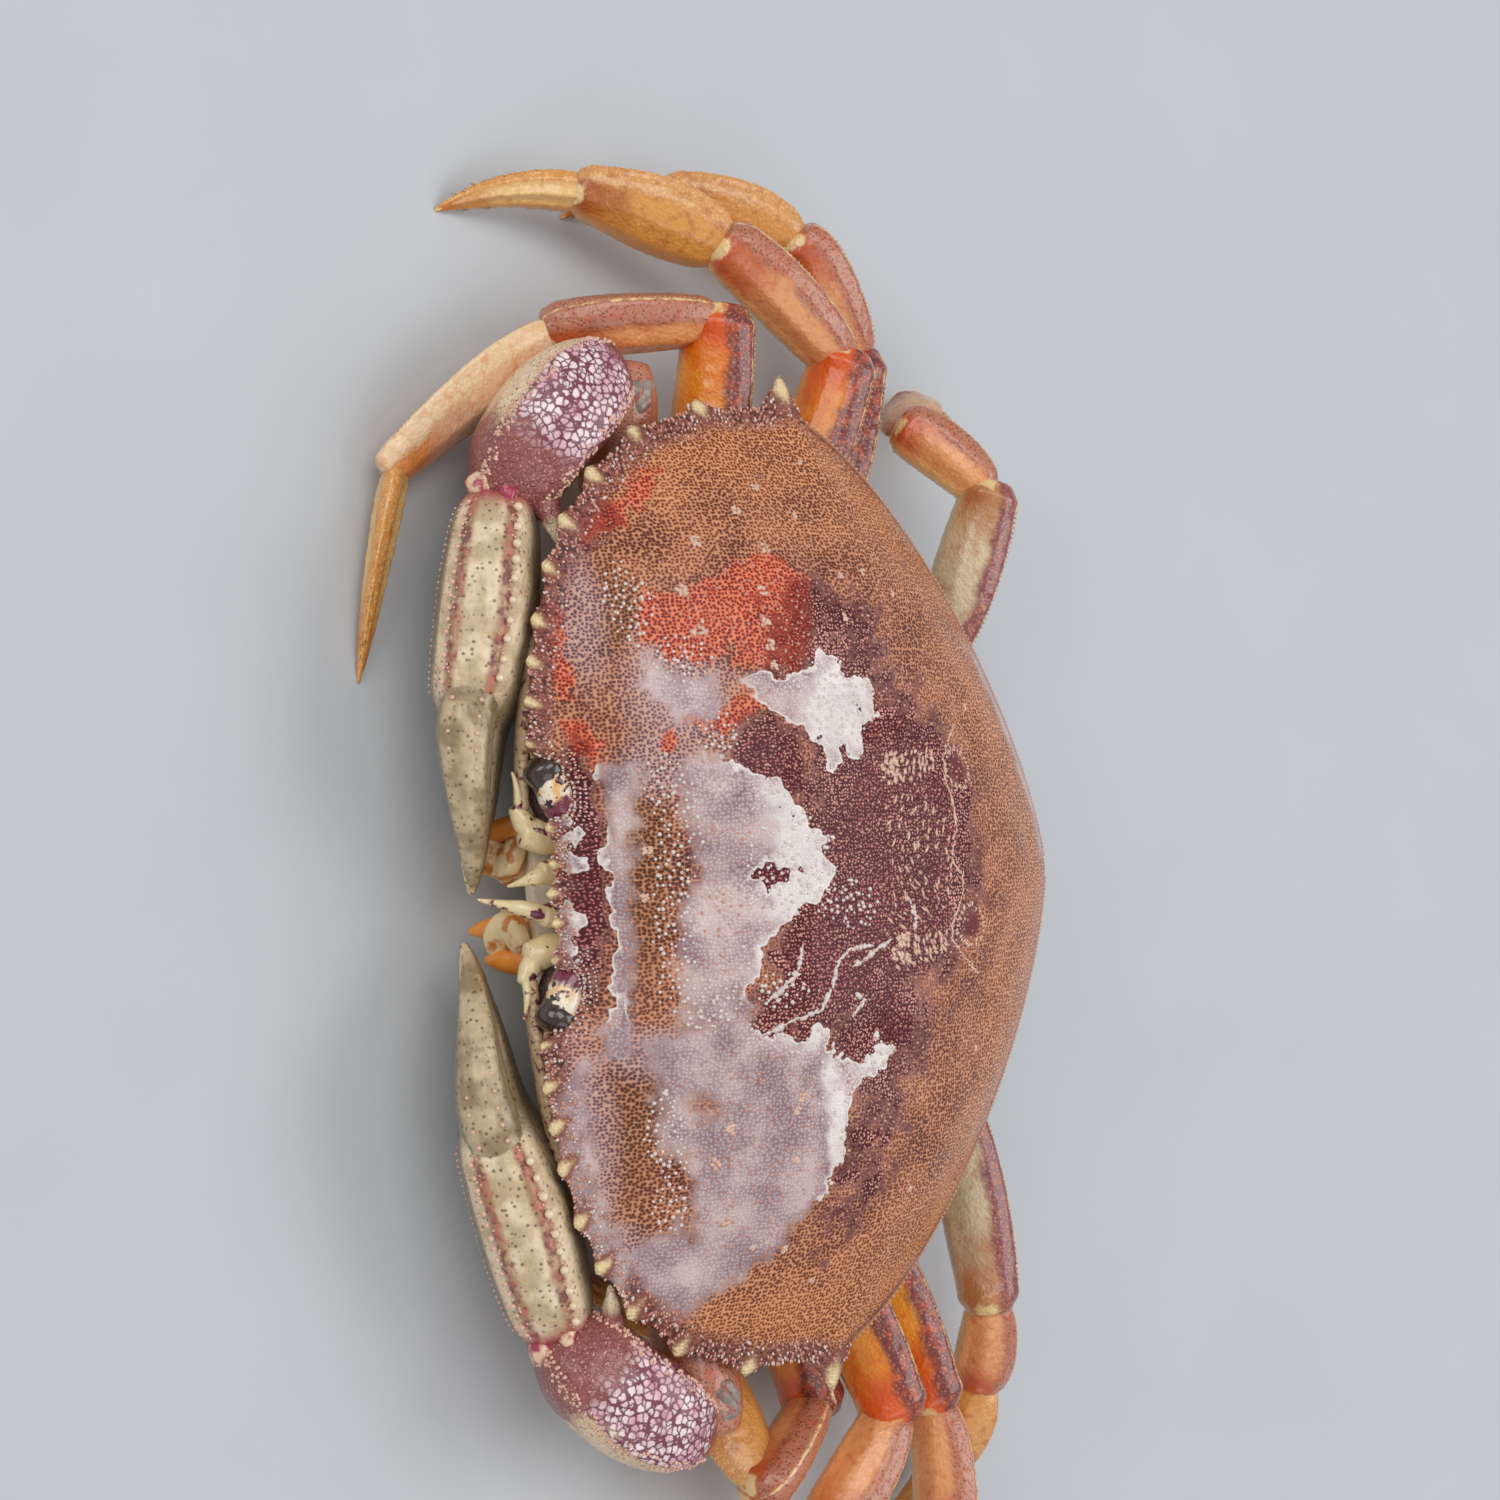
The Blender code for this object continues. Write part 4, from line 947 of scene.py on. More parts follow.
def limb_skin(name, face, knee, back, speck, belly, gloss=0.30):
    """Shell of a limb: its front face, its granular back, its pale belly and its paler hinges."""
    made = new_skin(name)
    dorsal, _, share, pale = read_map("skin_map")
    cloudy = clouds(6.0, 5.0)
    streaks = clouds(1.8, 5.0)
    front = blend(ramp(cloudy * 0.5 + share, 0.78, 1.2), face, knee)
    front = blend(ramp(streaks, 0.5, 0.75) * 0.6, front, knee)
    cells = freckles(0.65)
    granular = blend(ramp(streaks * -0.3 + cells, 0.0, 0.3, 1.0, 0.0), back, speck)
    granular = blend(ramp(streaks, 0.45, 0.7) * 0.5, granular, knee)
    edge = cloudy * 0.34 + dorsal
    colour = blend(ramp(edge, 0.88, 1.04), front, granular)
    colour = blend(ramp(dorsal, 0.3, 0.02), colour, belly)
    pale_edge = streaks * 1.1 + pale
    colour = blend(ramp(pale_edge, 1.02, 1.36), colour, tone(248, 212, 148))
    dress(Base_Color=colour, Roughness=streaks * 0.2 + (gloss - 0.08), Coat_Weight=0.7,
          Coat_Roughness=0.1, Subsurface_Weight=0.12, Subsurface_Radius=(1.0, 0.4, 0.2),
          Subsurface_Scale=0.002)
    relief(cells + streaks * 1.5, 0.12)
    return made


ORANGE_FACE, RED_KNEE = tone(255, 168, 44), tone(232, 92, 6)
MAROON_BACK, PINK_SPECK, BELLY = tone(122, 48, 40), tone(196, 118, 92), tone(248, 198, 128)
LEG_SKINS = {"hip": limb_skin("leg_hip_skin", tone(246, 192, 122), tone(236, 150, 70),
        tone(184, 104, 84), PINK_SPECK, BELLY), "merus": limb_skin("leg_merus_skin", ORANGE_FACE,
        RED_KNEE, MAROON_BACK, PINK_SPECK, BELLY), "carpus": limb_skin("leg_carpus_skin",
        tone(240, 164, 104), tone(204, 92, 44), tone(194, 124, 94), tone(134, 62, 46), BELLY),
        "propodus": limb_skin("leg_propodus_skin", tone(230, 158, 74), tone(176, 88, 24),
        tone(226, 160, 92), tone(246, 194, 128), tone(220, 154, 82)),
        "dactyl": limb_skin("leg_dactyl_skin", tone(240, 194, 126), tone(206, 118, 30),
        tone(230, 160, 80), tone(246, 200, 132), tone(218, 148, 66))}
IVORY_MERUS = limb_skin("rear_merus_skin", tone(226, 204, 164), tone(196, 126, 74),
        tone(140, 70, 72), PINK_SPECK, tone(222, 204, 166))
BEIGE_HAND = limb_skin("front_propodus_skin", tone(255, 212, 174), tone(236, 148, 78),
        tone(255, 216, 170), tone(255, 232, 190), tone(246, 190, 130))

knuckle_skin = new_skin("knuckle_skin")
dress(Base_Color=blend(clouds(1.5), tone(238, 196, 122), tone(244, 226, 186)), Roughness=0.3,
      Coat_Weight=0.5)
relief(clouds(0.8), 0.08)

soft_skin = new_skin("joint_skin")
colour = blend(clouds(2.0), tone(112, 96, 88), tone(184, 166, 150))
colour = blend(ramp(clouds(1.4), 0.52, 0.62), colour, tone(176, 96, 88))
dress(Base_Color=colour, Roughness=0.34, Subsurface_Weight=0.3, Subsurface_Scale=0.003,
      Coat_Weight=0.6)
relief(clouds(1.2, 6.0), 0.5)

bristle_skin = new_skin("bristle_skin")
dress(Base_Color=blend(clouds(1.0), tone(110, 78, 50), tone(170, 132, 88)), Roughness=0.5)


def leg_ways(leg, k):
    """One segment's low end, way, length, crest direction and girth."""
    girth, *places = LEGS[leg]
    upper, outer = (Vector(lean) for lean in LEANS[leg])
    crest = (upper, upper, upper + outer, outer, outer)[k]
    low, high = Vector(places[k]), Vector(places[k + 1])
    way = (high - low).normalized()
    crest = (crest - way * crest.dot(way)).normalized()
    reach = 2.2 * girth if k < 4 else 0.0
    return low, way, (high - low).length + reach, crest, girth


def leg_section(part):
    """The section of a segment: a bony crest above, a keel below, a ridge on each broad face."""
    crest, keel, ridge = {"hip": (0.03, 0.0, 0.02), "merus": (0.1, 0.05, 0.05),
            "carpus": (0.12, 0.04, 0.09), "propodus": (0.15, 0.12, 0.06),
            "dactyl": (0.1, 0.08, 0.2)}[part]

    def shaped(turn, share, wide, high):
        fade = math.sin(math.pi * share) ** 0.5
        above = bell(turn - math.pi / 2, 0.26)
        below = bell(turn - 3 * math.pi / 2, 0.26)
        high *= 1 + (crest * above + keel * below) * fade
        for face in (0.0, math.pi, math.tau):
            wide *= 1 + ridge * bell(turn - face, 0.16) * fade
            hollow = bell(turn - face - 0.5, 0.22) + bell(turn - face + 0.5, 0.22)
            wide *= 1 - ridge * 0.9 * hollow * fade
            if part != "dactyl":
                wide *= 1 + 0.13 * bell(turn - face, 0.45) * bell(share - 0.95, 0.045)
        flare = 0.08 * bell(share - 0.94, 0.04) if part != "dactyl" else 0.0
        return wide * (1 + flare), high * (1 + flare)
    return shaped


def hinge_zone(turn, share):
    """How pale a segment is: at its hinges on both faces, and along its crest."""
    near_face = max((bell(turn - face, 0.7) for face in (0.0, math.pi, math.tau)))
    crest = 0.72 * bell(turn - math.pi / 2, 0.11)
    return max(near_face * bell(share - 1.0, 0.05), 0.6 * bell(share + 0.01, 0.04), crest)


knuckles, skins, beads, bristles = bmesh.new(), bmesh.new(), Heap(), Heap()
for leg in LEGS:
    for k, (part, stations, bow) in enumerate(SEGMENTS):
        low, way, length, crest, girth = leg_ways(leg, k)
        across = way.cross(crest)

        def middle(share):
            return low + way * (share * length) + crest * (bow * 4 * share * (1 - share))

        def size(share):
            half_width, half_height = eased(stations, share)
            return half_width * girth, half_height * girth

        bm = bmesh.new()
        limb_tube(bm, middle, size, crest, around=64, along=40 if part == "hip" else 80,
                  cap=0.5 if part == "dactyl" else 1.0,
                  square=1.9 if part in ("dactyl", "propodus") else 2.3, sculpt=leg_section(part),
                  pores=0.12, pale=hinge_zone)
        faced_out(bm)
        skin = LEG_SKINS[part]
        if leg.endswith("leg_4") and part == "merus":
            skin = IVORY_MERUS
        if leg == "right_leg_1" and part == "propodus":
            skin = BEIGE_HAND
        settle(bm, f"{leg}_{part}_limb", skin, [f"{leg}_{part}"])
        if k:
            half_width, half_height = eased(stations, 0.03)
            ball(skins, low + way * 0.6, (half_width * girth * 1.1, half_height * girth * 1.05,
                    2.4 * girth), (across, crest, way))
            for side in (-1, 1):
                spot = low + way * 0.6 + across * (side * half_width * girth * 1.2) - crest * 0.3
                ball(knuckles, spot, (0.7 * girth, 0.95 * girth, 1.2 * girth), (across, crest, way))
        if part in ("merus", "carpus", "propodus"):
            count = int(length / 0.9)
            for n in range(2, count - 1):
                share = n / count
                half_width, half_height = size(share)
                for lean, radius in ((0.10, 0.22), (-0.42, 0.17))[:1 if part == "propodus" else 2]:
                    top = middle(share) + crest * (half_height * (1 + 0.1 * math.cos(3 * lean))
                            * math.cos(lean)) + across * (half_width * math.sin(lean))
                    ball(beads.room(), top, (radius, radius, radius * dice.uniform(0.9, 1.6)),
                         (across, way, crest), 1)
        if part in ("propodus", "dactyl", "carpus"):
            for n in range(110 if part == "dactyl" else 60):
                share = dice.uniform(0.05, 0.9)
                half_width, half_height = size(share)
                side = dice.choice((-1, 1))
                root = middle(share) + crest * (side * half_height
                        * 0.96) + across * dice.uniform(-0.4, 0.4)
                lean = (crest * side * 0.7 + way * 1.3 + across
                        * dice.uniform(-0.5, 0.5)).normalized()
                bristle(bristles, root, lean, dice.uniform(0.7, 1.5), 0.06)

settle(knuckles, "leg_knuckles", knuckle_skin)
settle(skins, "leg_joint_skins", soft_skin)
settle(beads.whole(), "leg_crest_beads", grain_skin("crest_bead_skin", tone(190, 112, 76),
        tone(240, 194, 144)))
settle(bristles.whole(), "leg_bristles", bristle_skin)

# The claws
# Each is an arm, a swollen wrist with a spine at its inner corner, and a deep hand whose fixed finger
# meets the moving one. Rows of white beads run along the hand, and the wrist is paved like a mosaic.

ARM = ((0, 4.6, 5.4), (0.14, 5.8, 6.6), (0.4, 6.0, 6.8), (0.75, 6.4, 6.6), (0.92, 6.4, 6.2),
       (1.0, 5.0, 5.0))
WRIST = ((0, 3.6, 3.8), (0.12, 6.2, 6.8), (0.35, 8.8, 9.4), (0.62, 9.0, 10.0), (0.85, 8.2, 8.8),
         (1.0, 5.6, 6.2))
HAND = ((0, 5.4, -5.4, 4.0, 0), (4, 9.4, -8.8, 6.4, 0), (12, 12.6, -12.0, 7.6, 0),
        (22, 14.2, -13.6, 8.0, 0), (31, 14.0, -13.8, 7.6, -0.4), (36, 12.4, -13.4, 6.8, -0.8),
        (39.5, 3.4, -12.8, 5.4, -1.0), (45, 0.6, -11.6, 4.5, -0.6), (51, -0.8, -10.2, 3.6, 0.0),
        (57, -1.8, -8.2, 2.7, 0.4), (63, -2.8, -6.0, 1.7, 0.8), (65.5, -3.6, -4.8, 0.8, 0.9))
FINGER = ((33, 8.0, 3.4, 3.6, -0.6), (36, 9.0, 4.8, 4.6, -0.8), (42, 9.4, 4.6, 4.6, -1.0),
          (49, 8.0, 4.0, 3.8, -0.2), (55, 5.2, 3.2, 3.0, 0.7), (60, 1.9, 2.3, 2.1, 1.2),
          (64.5, -1.4, 1.1, 1.0, 1.4))
CLAWS = {
    "right_claw": ((-33, -25, 11), (-85, -27, 18.5), (-66.5, -49.9, 16.4), (0.988, -0.15, -0.02)),
    "left_claw": ((33, -25, 11), (88, -21, 20.5), (72.5, -46.3, 16.4), (-0.973, -0.23, -0.02)),
}
HAND_TILT = math.radians(36)
HAND_LENGTH = 65.5
FINGER_START, FINGER_RUN = 33, 31.5
WRIST_SQUARE = 2.9
TOP_RIDGES = (1.17, 1.97)
SIDE_RIDGES = (-0.75, -0.38, 0.0, 0.38, 0.75)
SPINES = {"right_claw": (Vector((-66.0, -46.0, 22.0)), Vector((0.94, 0.14, 0.32)).normalized()),
          "left_claw": (Vector((73.5, -41.0, 23.4)), Vector((-0.97, -0.1, 0.2)).normalized())}


def palm_skin(name, ground, mottle, outer_shade):
    """Ivory shell flecked with maroon, rosy along its ridges and painted darker grey-green on its
    outer side, a painted shade.
    """
    made = new_skin(name)
    dorsal, _, share, pale = read_map("skin_map")
    cloudy, fine = (clouds(5.0, 5.0), clouds(0.9, 3.0))
    colour = blend(ramp(cloudy, 0.4, 0.62), ground, mottle)
    # The outer side painted darker: painted shade.
    colour = blend(ramp(cloudy * 0.2 + dorsal, 0.96, 0.8), colour, outer_shade)
    broken = clouds(1.4, 4.0)
    amber = ramp(broken * 0.5 + pale, 0.45, 1.05)
    colour = blend(amber * 0.65, colour, tone(164, 108, 66))
    rosy = ramp(broken * 2.6 + pale, 1.85, 2.4)
    colour = blend(rosy * 0.8, colour, blend(ramp(cloudy, 0.42, 0.58), tone(120, 40, 50),
            tone(204, 112, 100)))
    cells = freckles(1.15)
    flecks = ramp(cells, 0.16, 0.34, 1.0, 0.0) * ramp(broken, 0.34, 0.48)
    colour = blend(flecks * 0.75, colour, tone(104, 72, 50))
    colour = blend(ramp(share, 0.09, 0.02), colour, tone(184, 84, 84))
    dress(Base_Color=colour, Roughness=fine * 0.25 + 0.24, Coat_Weight=0.4, Coat_Roughness=0.1,
          Subsurface_Weight=0.1, Subsurface_Scale=0.002)
    relief(cells * 0.5 + (fine + cloudy), 0.22)
    return made


hand_skin = palm_skin("hand_skin", tone(244, 220, 184), tone(206, 180, 138), tone(140, 124, 98))
finger_skin = palm_skin("finger_skin", tone(206, 182, 144), tone(158, 134, 98), tone(146, 126, 96))

wrist_skin = new_skin("wrist_skin")
dorsal, frontal, share, pale = read_map("skin_map")
cloudy = clouds(4.0, 4.0)
bent = warped(0.8, 0.9)
seams = freckles(1.3, "DISTANCE_TO_EDGE", place=bent)
seams = seams - ramp(freckles(1.3, place=bent), 0.46, 0.84, 0.0, 0.16)
paving = blend(ramp(cloudy, 0.36, 0.58), tone(226, 168, 180), tone(255, 230, 232))
pits = freckles(1.1)
paved = blend(ramp(cloudy * -0.12 + seams, -0.06, 0.06, 1.0, 0.0), paving, tone(128, 64, 76))
paved = blend(ramp(pits, 0.08, 0.16, 1.0, 0.0) * 0.5, paved, tone(110, 50, 60))
cream = blend(ramp(freckles(1.0, place=bent), 0.12, 0.3, 1.0, 0.0), tone(252, 218, 176),
              tone(150, 70, 60))
knobbly = blend(ramp(freckles(0.8, place=bent), 0.16, 0.4, 1.0, 0.0), tone(126, 52, 62),
                tone(200, 132, 136))
brown = blend(ramp(freckles(0.62, place=bent), 0.14, 0.34, 1.0, 0.0), tone(158, 90, 84),
              tone(226, 166, 148))
edge = cloudy * 0.1 + dorsal
colour = blend(ramp(edge, 0.86, 0.93), knobbly, paved)
front = ramp(edge, 0.93, 0.88) * ramp(frontal, 0.42, 0.55)
colour = blend(front, colour, cream)
colour = blend(ramp(cloudy * 0.3 + share, 0.8, 0.92), colour, brown)
colour = blend(ramp(cloudy * 0.2 + share, 0.3, 0.2), colour, knobbly)
colour = blend(ramp(cloudy * 0.3 + pale, 0.62, 0.9), colour, tone(244, 222, 186))
dress(Base_Color=colour, Roughness=0.34, Coat_Weight=0.3, Coat_Roughness=0.12)
relief(ramp(seams, 0.0, 0.2), 0.2)

lobe_skin = new_skin("claw_hinge_skin")
dress(Base_Color=blend(ramp(clouds(2.4, 3.0), 0.45, 0.6), tone(176, 56, 84), tone(244, 206, 170)),
      Roughness=0.25, Coat_Weight=0.5)
relief(clouds(0.9), 0.08)

bead_skin = new_skin("bead_skin")
dress(Base_Color=blend(clouds(1.2), tone(232, 198, 156), tone(252, 234, 204)), Roughness=0.25,
      Coat_Weight=0.5)
relief(clouds(0.5), 0.04)


def crumpled(bm, place, radii, depth, fineness):
    """A lump pushed in and out by so many millimetres."""
    for vert in ball(bm, place, radii, fineness=fineness):
        away = vert.co - Vector(place)
        vert.co += away.normalized() * (noise.noise(vert.co * 0.45) + 0.5
                * noise.noise(vert.co * 1.1)) * depth


claw_beads, pink_beads, claw_hairs, lobes, cuffs = Heap(), Heap(), Heap(), bmesh.new(), bmesh.new()
for claw in CLAWS:
    shoulder, elbow, hand_start, way = (Vector(place) for place in CLAWS[claw])
    axis = way.normalized()
    lean = Vector((0, -math.sin(HAND_TILT), math.cos(HAND_TILT)))
    up = (lean - axis * lean.dot(axis)).normalized()
    inner = axis.cross(up)
    inner = inner if inner.y > 0 else -inner
    outward = -1 if axis.x > 0 else 1

    # the arm, half hidden under the shell
    arm_way = (elbow - shoulder).normalized()
    arm_length = (elbow - shoulder).length + 3.0
    bm = bmesh.new()
    limb_tube(bm, lambda s: shoulder + arm_way * (s * arm_length)
              - Vector((0, 0, 2.4 * s * (1 - s))), lambda s: eased(ARM, s), Vector((0, 0, 1)),
              around=44, along=60, cap=1.0, pores=0.12)
    settle(faced_out(bm), f"{claw}_arm_limb", LEG_SKINS["carpus"], [f"{claw}_arm"])
    crumpled(cuffs, elbow + Vector((outward * -2.6, 0.4, 2.0)), (4.6, 4.2, 4.2), 0.9, 4)
    crumpled(lobes, elbow + Vector((outward * -2.2, -3.4, 4.6)), (1.7, 1.3, 1.6), 0.4, 3)

    # the wrist, bent up and outwards, with its long inner spine
    start = elbow + Vector((outward * 1.5, -2.5, 1.0))
    end = hand_start + axis * 1.5
    bend = (start + end) / 2 + Vector((outward * 6.2, -3.8, 7.0))

    def wrist_line(share):
        return start * (1 - share) ** 2 + bend * (2 * share * (1 - share)) + end * share ** 2

    wrist_up = Vector((0, -0.2, 0.98)).normalized()

    def wrist_section(turn, share, wide, high):
        """Flat faces that meet in blunt ridges."""
        ridge = sum((bell(turn - corner, 0.14) for corner in (math.pi * 0.27, math.pi * 0.73)))
        ridge *= math.sin(math.pi * min(1.0, share * 1.05)) ** 0.5
        return wide * (1 + 0.03 * ridge), high * (1 + 0.05 * ridge)

    def cream_patch(turn, share):
        front = 0.95 if inner.dot(axis.cross(up)) < 0 else math.pi - 0.95
        return 0.6 * bell(turn - front, 0.26) * bell(share - 0.6, 0.12)

    bm = bmesh.new()
    limb_tube(bm, wrist_line, lambda s: eased(WRIST, s), wrist_up, around=96, along=96, cap=1.6,
              square=WRIST_SQUARE, sculpt=wrist_section, pores=0.16, pale=cream_patch)
    root, point = SPINES[claw]
    body = len(bm.verts)
    limb_tube(bm, lambda s: root + point * (-2.0 + 12.2 * s) + Vector((0, 0, 0.8 * s * (1 - s))),
              lambda s: (3.0 * (1 - s) ** 0.8 + 0.35,) * 2, Vector((0, 0, 1)), around=24, along=30,
              cap=0.3, pores=0.3, pale=lambda turn, share: max(0.0, share * 1.4 - 0.35))
    skin_map = bm.verts.layers.float_color["skin_map"]
    for vert in list(bm.verts)[body:]:
        vert[skin_map][2] = 1.0
    settle(faced_out(bm), f"{claw}_wrist_limb", wrist_skin, [f"{claw}_wrist"])
    for n in range(330):
        share, side = dice.uniform(0.06, 0.97), dice.choice((-1, 1))
        here, ahead = wrist_line(share), wrist_line(min(1.0, share + 0.01))
        run = (ahead - wrist_line(max(0.0, share - 0.01))).normalized()
        across = run.cross(wrist_up).normalized()
        half_width, half_height = eased(WRIST, share)
        turn = math.pi / 2 + side * (0.72 + dice.uniform(-0.16, 0.2))
        out = across * (pressed(math.cos(turn), WRIST_SQUARE) * half_width) \
            + across.cross(run) * (pressed(math.sin(turn), WRIST_SQUARE) * half_height)
        size = dice.uniform(0.25, 0.42)
        grain(pink_beads, here + out * 1.01, out, (size, size, size * 1.3))
        if n % 2:
            bristle(claw_hairs, here + out, out.normalized() + run * 0.8, dice.uniform(0.7, 1.4),
                    0.05)

    # the hand with its fixed finger
    def hand_line(share):
        top, bottom, thick, lean = eased(HAND, share * HAND_LENGTH)
        return hand_start + axis * (share * HAND_LENGTH) + up * ((top + bottom) / 2) + inner * lean

    def hand_size(share):
        top, bottom, thick, lean = eased(HAND, share * HAND_LENGTH)
        return thick, max(0.5, (top - bottom) / 2)

    def hand_section(turn, share, wide, high):
        """Two ridges along the top and five low ones along the outer face."""
        outer = wide * (1 if inner.dot(axis.cross(up)) < 0 else -1) > 0
        fade = max(0.15, math.sin(math.pi * min(1.0, share * 1.5)))
        if outer:
            for level in SIDE_RIDGES:
                wide *= 1 + 0.07 * max(fade, 0.0) * bell(high / max(hand_size(share)[1], 1) - level,
                        0.07)
        for ridge in TOP_RIDGES:
            high *= 1 + 0.05 * max(fade, 0.0) * bell(turn - ridge, 0.1)
        return wide, high

    def hand_ridges(turn, share):
        near = max((bell(turn - ridge, 0.17) for ridge in TOP_RIDGES))
        return near * (0.2 + 0.8 / (1 + math.exp((share - 0.56) * 40)))

    bm = bmesh.new()
    limb_tube(bm, hand_line, hand_size, up, around=110, along=170, cap=0.9, square=2.5,
              sculpt=hand_section, pores=0.14, pale=hand_ridges, run=axis)
    for n in range(9):
        along = 40.5 + n * 2.7
        top, bottom, thick, lean = eased(HAND, along)
        tooth = hand_start + axis * along + up * (top - 0.25) + inner * lean
        size = 1.5 - 0.09 * n
        ball(bm, tooth, (size * 1.05, size * 0.8, size * 0.75), (axis, inner, up))
    settle(faced_out(bm), f"{claw}_hand_limb", hand_skin, [f"{claw}_hand"])
    for along, high, deep, size in ((0.2, 6.4, -3.4, 2.5), (1.6, 8.0, 2.4, 1.6),
            (0.6, -3.0, -4.2, 1.8)):
        crumpled(lobes, hand_start + axis * (along + 0.6) + up * (high - 0.9) + inner * deep * 0.8,
                 (size * 1.1, size * 0.9, size), 0.5, 3)

    # the moving finger
    def finger_line(share):
        height, half_high, half_thick, lean = eased(FINGER, FINGER_START + share * FINGER_RUN)
        return hand_start + axis * (FINGER_START + share * FINGER_RUN) + up * height + inner * lean

    def finger_size(share):
        height, half_high, half_thick, lean = eased(FINGER, FINGER_START + share * FINGER_RUN)
        return half_thick, half_high

    def finger_section(turn, share, wide, high):
        """Shallow furrows along the finger, and a collar at its hinge."""
        furrow = sum((bell(turn - line, 0.13) for line in (0.35, 1.15, 2.0, 2.8)))
        collar = 0.06 * bell(share - 0.04, 0.04) - 0.07 * bell(share - 0.13, 0.03)
        reach = 1 + collar - 0.07 * furrow * math.sin(math.pi * share)
        return wide * reach, high * reach

    bm = bmesh.new()
    limb_tube(bm, finger_line, finger_size, up, around=72, along=100, cap=0.7, square=2.15,
              sculpt=finger_section, pores=0.16)
    for n in range(8):
        along = 41.5 + n * 2.75
        height, half_high, half_thick, lean = eased(FINGER, along)
        tooth = hand_start + axis * along + up * (height - half_high + 0.2) + inner * lean
        size = 1.4 - 0.09 * n
        ball(bm, tooth, (size * 1.05, size * 0.8, size * 0.75), (axis, inner, up))
    settle(faced_out(bm), f"{claw}_finger_limb", finger_skin, [f"{claw}_finger"])

    # beads along the ridges of the hand and finger
    for row, count, radius in ((1, 10, 0.72), (-1, 16, 0.42)):
        for n in range(count):
            along = 4.4 + (n + dice.uniform(-0.12, 0.12)) * 31.6 / count
            top, bottom, thick, lean = eased(HAND, along)
            spot = hand_start + axis * along + up * (top - 0.7 + 0.1 * row) + inner * (row * thick
                    * 0.62 + lean)
            size = radius * dice.uniform(0.82, 1.12)
            grain(claw_beads if row > 0 else pink_beads, spot, up + inner * row * 0.5,
                  (size, size, size * 0.95), 3)
        for n in range(44):
            along = dice.uniform(3.5, 36)
            top, bottom, thick, lean = eased(HAND, along)
            spread = dice.uniform(-1.1, 1.1)
            spot = hand_start + axis * along + up * (top - 0.75 - 0.2 * spread * row) \
                + inner * (row * thick * 0.62 + lean + spread)
            grain(pink_beads, spot, up, (0.26, 0.26, 0.2))
        for n in range(8):
            along = 36.5 + n * 2.7
            height, half_high, half_thick, lean = eased(FINGER, along)
            spot = hand_start + axis * along + up * (height + half_high * 0.86) + inner * (row
                    * half_thick * 0.5 + lean)
            size = 0.5 - 0.03 * n
            grain(pink_beads, spot, up, (size * 0.8, size * 0.8, size * 0.6), 2)
    for level in SIDE_RIDGES:
        for n in range(30):
            along = 4.5 + n * 1.05
            top, bottom, thick, lean = eased(HAND, along)
            high = (top + bottom) / 2 + level * (top - bottom) / 2
            wide = thick * (1 - abs(level) ** 2.5) ** 0.4 * 1.045
            grain(pink_beads, hand_start + axis * along + up * high - inner * (wide - lean), -inner,
                  (0.26, 0.26, 0.3))
settle(claw_beads.whole(), "claw_beads", bead_skin)
settle(pink_beads.whole(), "claw_grains", grain_skin("claw_grain_skin", tone(226, 160, 142),
        tone(246, 212, 184)))
settle(claw_hairs.whole(), "claw_hairs", bristle_skin)
settle(lobes, "claw_hinges", lobe_skin)
settle(cuffs, "claw_joint_skins", soft_skin)

# The breast and the tail
# Under the shell lies the breastplate, pale and smooth, in plates that fan out to the legs. The narrow
# tail of a male is bent round the back and lies forward in a furrow of it.

BREAST = ((0.0, 25.0, 23.0, 27.0), (1.4, 31.0, 29.0, 32.5), (4.5, 39.0, 37.0, 39.0),
          (9.0, 46.0, 43.5, 43.0), (15.0, 51.0, 48.0, 45.5), (19.2, 54.0, 49.0, 46.5))
BREAST_TOP = 19.2
FLAT_PART = 0.35
PLATE_LINES = (-24.0, -13.5, -3.5, 6.5, 17.0)
TAIL = ((48.8, 22.0, 12.2, 1.3), (49.4, 18.6, 14.4, 1.6), (48.8, 14.0, 14.4, 1.7),
        (46.8, 9.2, 14.0, 1.7), (43.6, 5.0, 13.2, 1.6), (38.8, 2.2, 12.3, 1.5),
        (31.0, 1.2, 10.8, 1.2), (22.0, 1.05, 8.8, 1.05), (12.0, 1.05, 7.0, 1.05),
        (3.0, 1.05, 5.6, 1.05), (-2.5, 1.05, 4.0, 1.05), (-6.0, 1.05, 1.4, 1.0))

breast_skin = new_skin("breast_skin")
cloudy = clouds(8.0, 5.0)
fine = clouds(0.8, 3.0)
colour = blend(cloudy, tone(232, 214, 178), tone(244, 232, 206))
colour = blend(ramp(clouds(14.0, 3.0), 0.55, 0.75), colour, tone(226, 186, 142))
pits = freckles(1.4)
colour = blend(ramp(pits, 0.1, 0.22, 1.0, 0.0) * 0.35, colour, tone(188, 140, 106))
dress(Base_Color=colour, Roughness=fine * 0.2 + 0.28, Coat_Weight=0.3, Subsurface_Weight=0.08,
      Subsurface_Scale=0.002)
relief(pits * 0.3 + fine, 0.12)


def breast_point(turn, height_share):
    """A point of the breastplate's outside, grooved between its plates."""
    height = BREAST_TOP * height_share
    half_width, front, back = eased(BREAST, height)
    c, s = abs(math.cos(turn)), math.sin(turn)
    reach, power = (back, 2.0) if s > 0 else (front, 2.3)
    out = ((c / half_width) ** power + (abs(s) / reach) ** power) ** (-1 / power)
    return Vector((out * math.cos(turn), out * math.sin(turn), height))


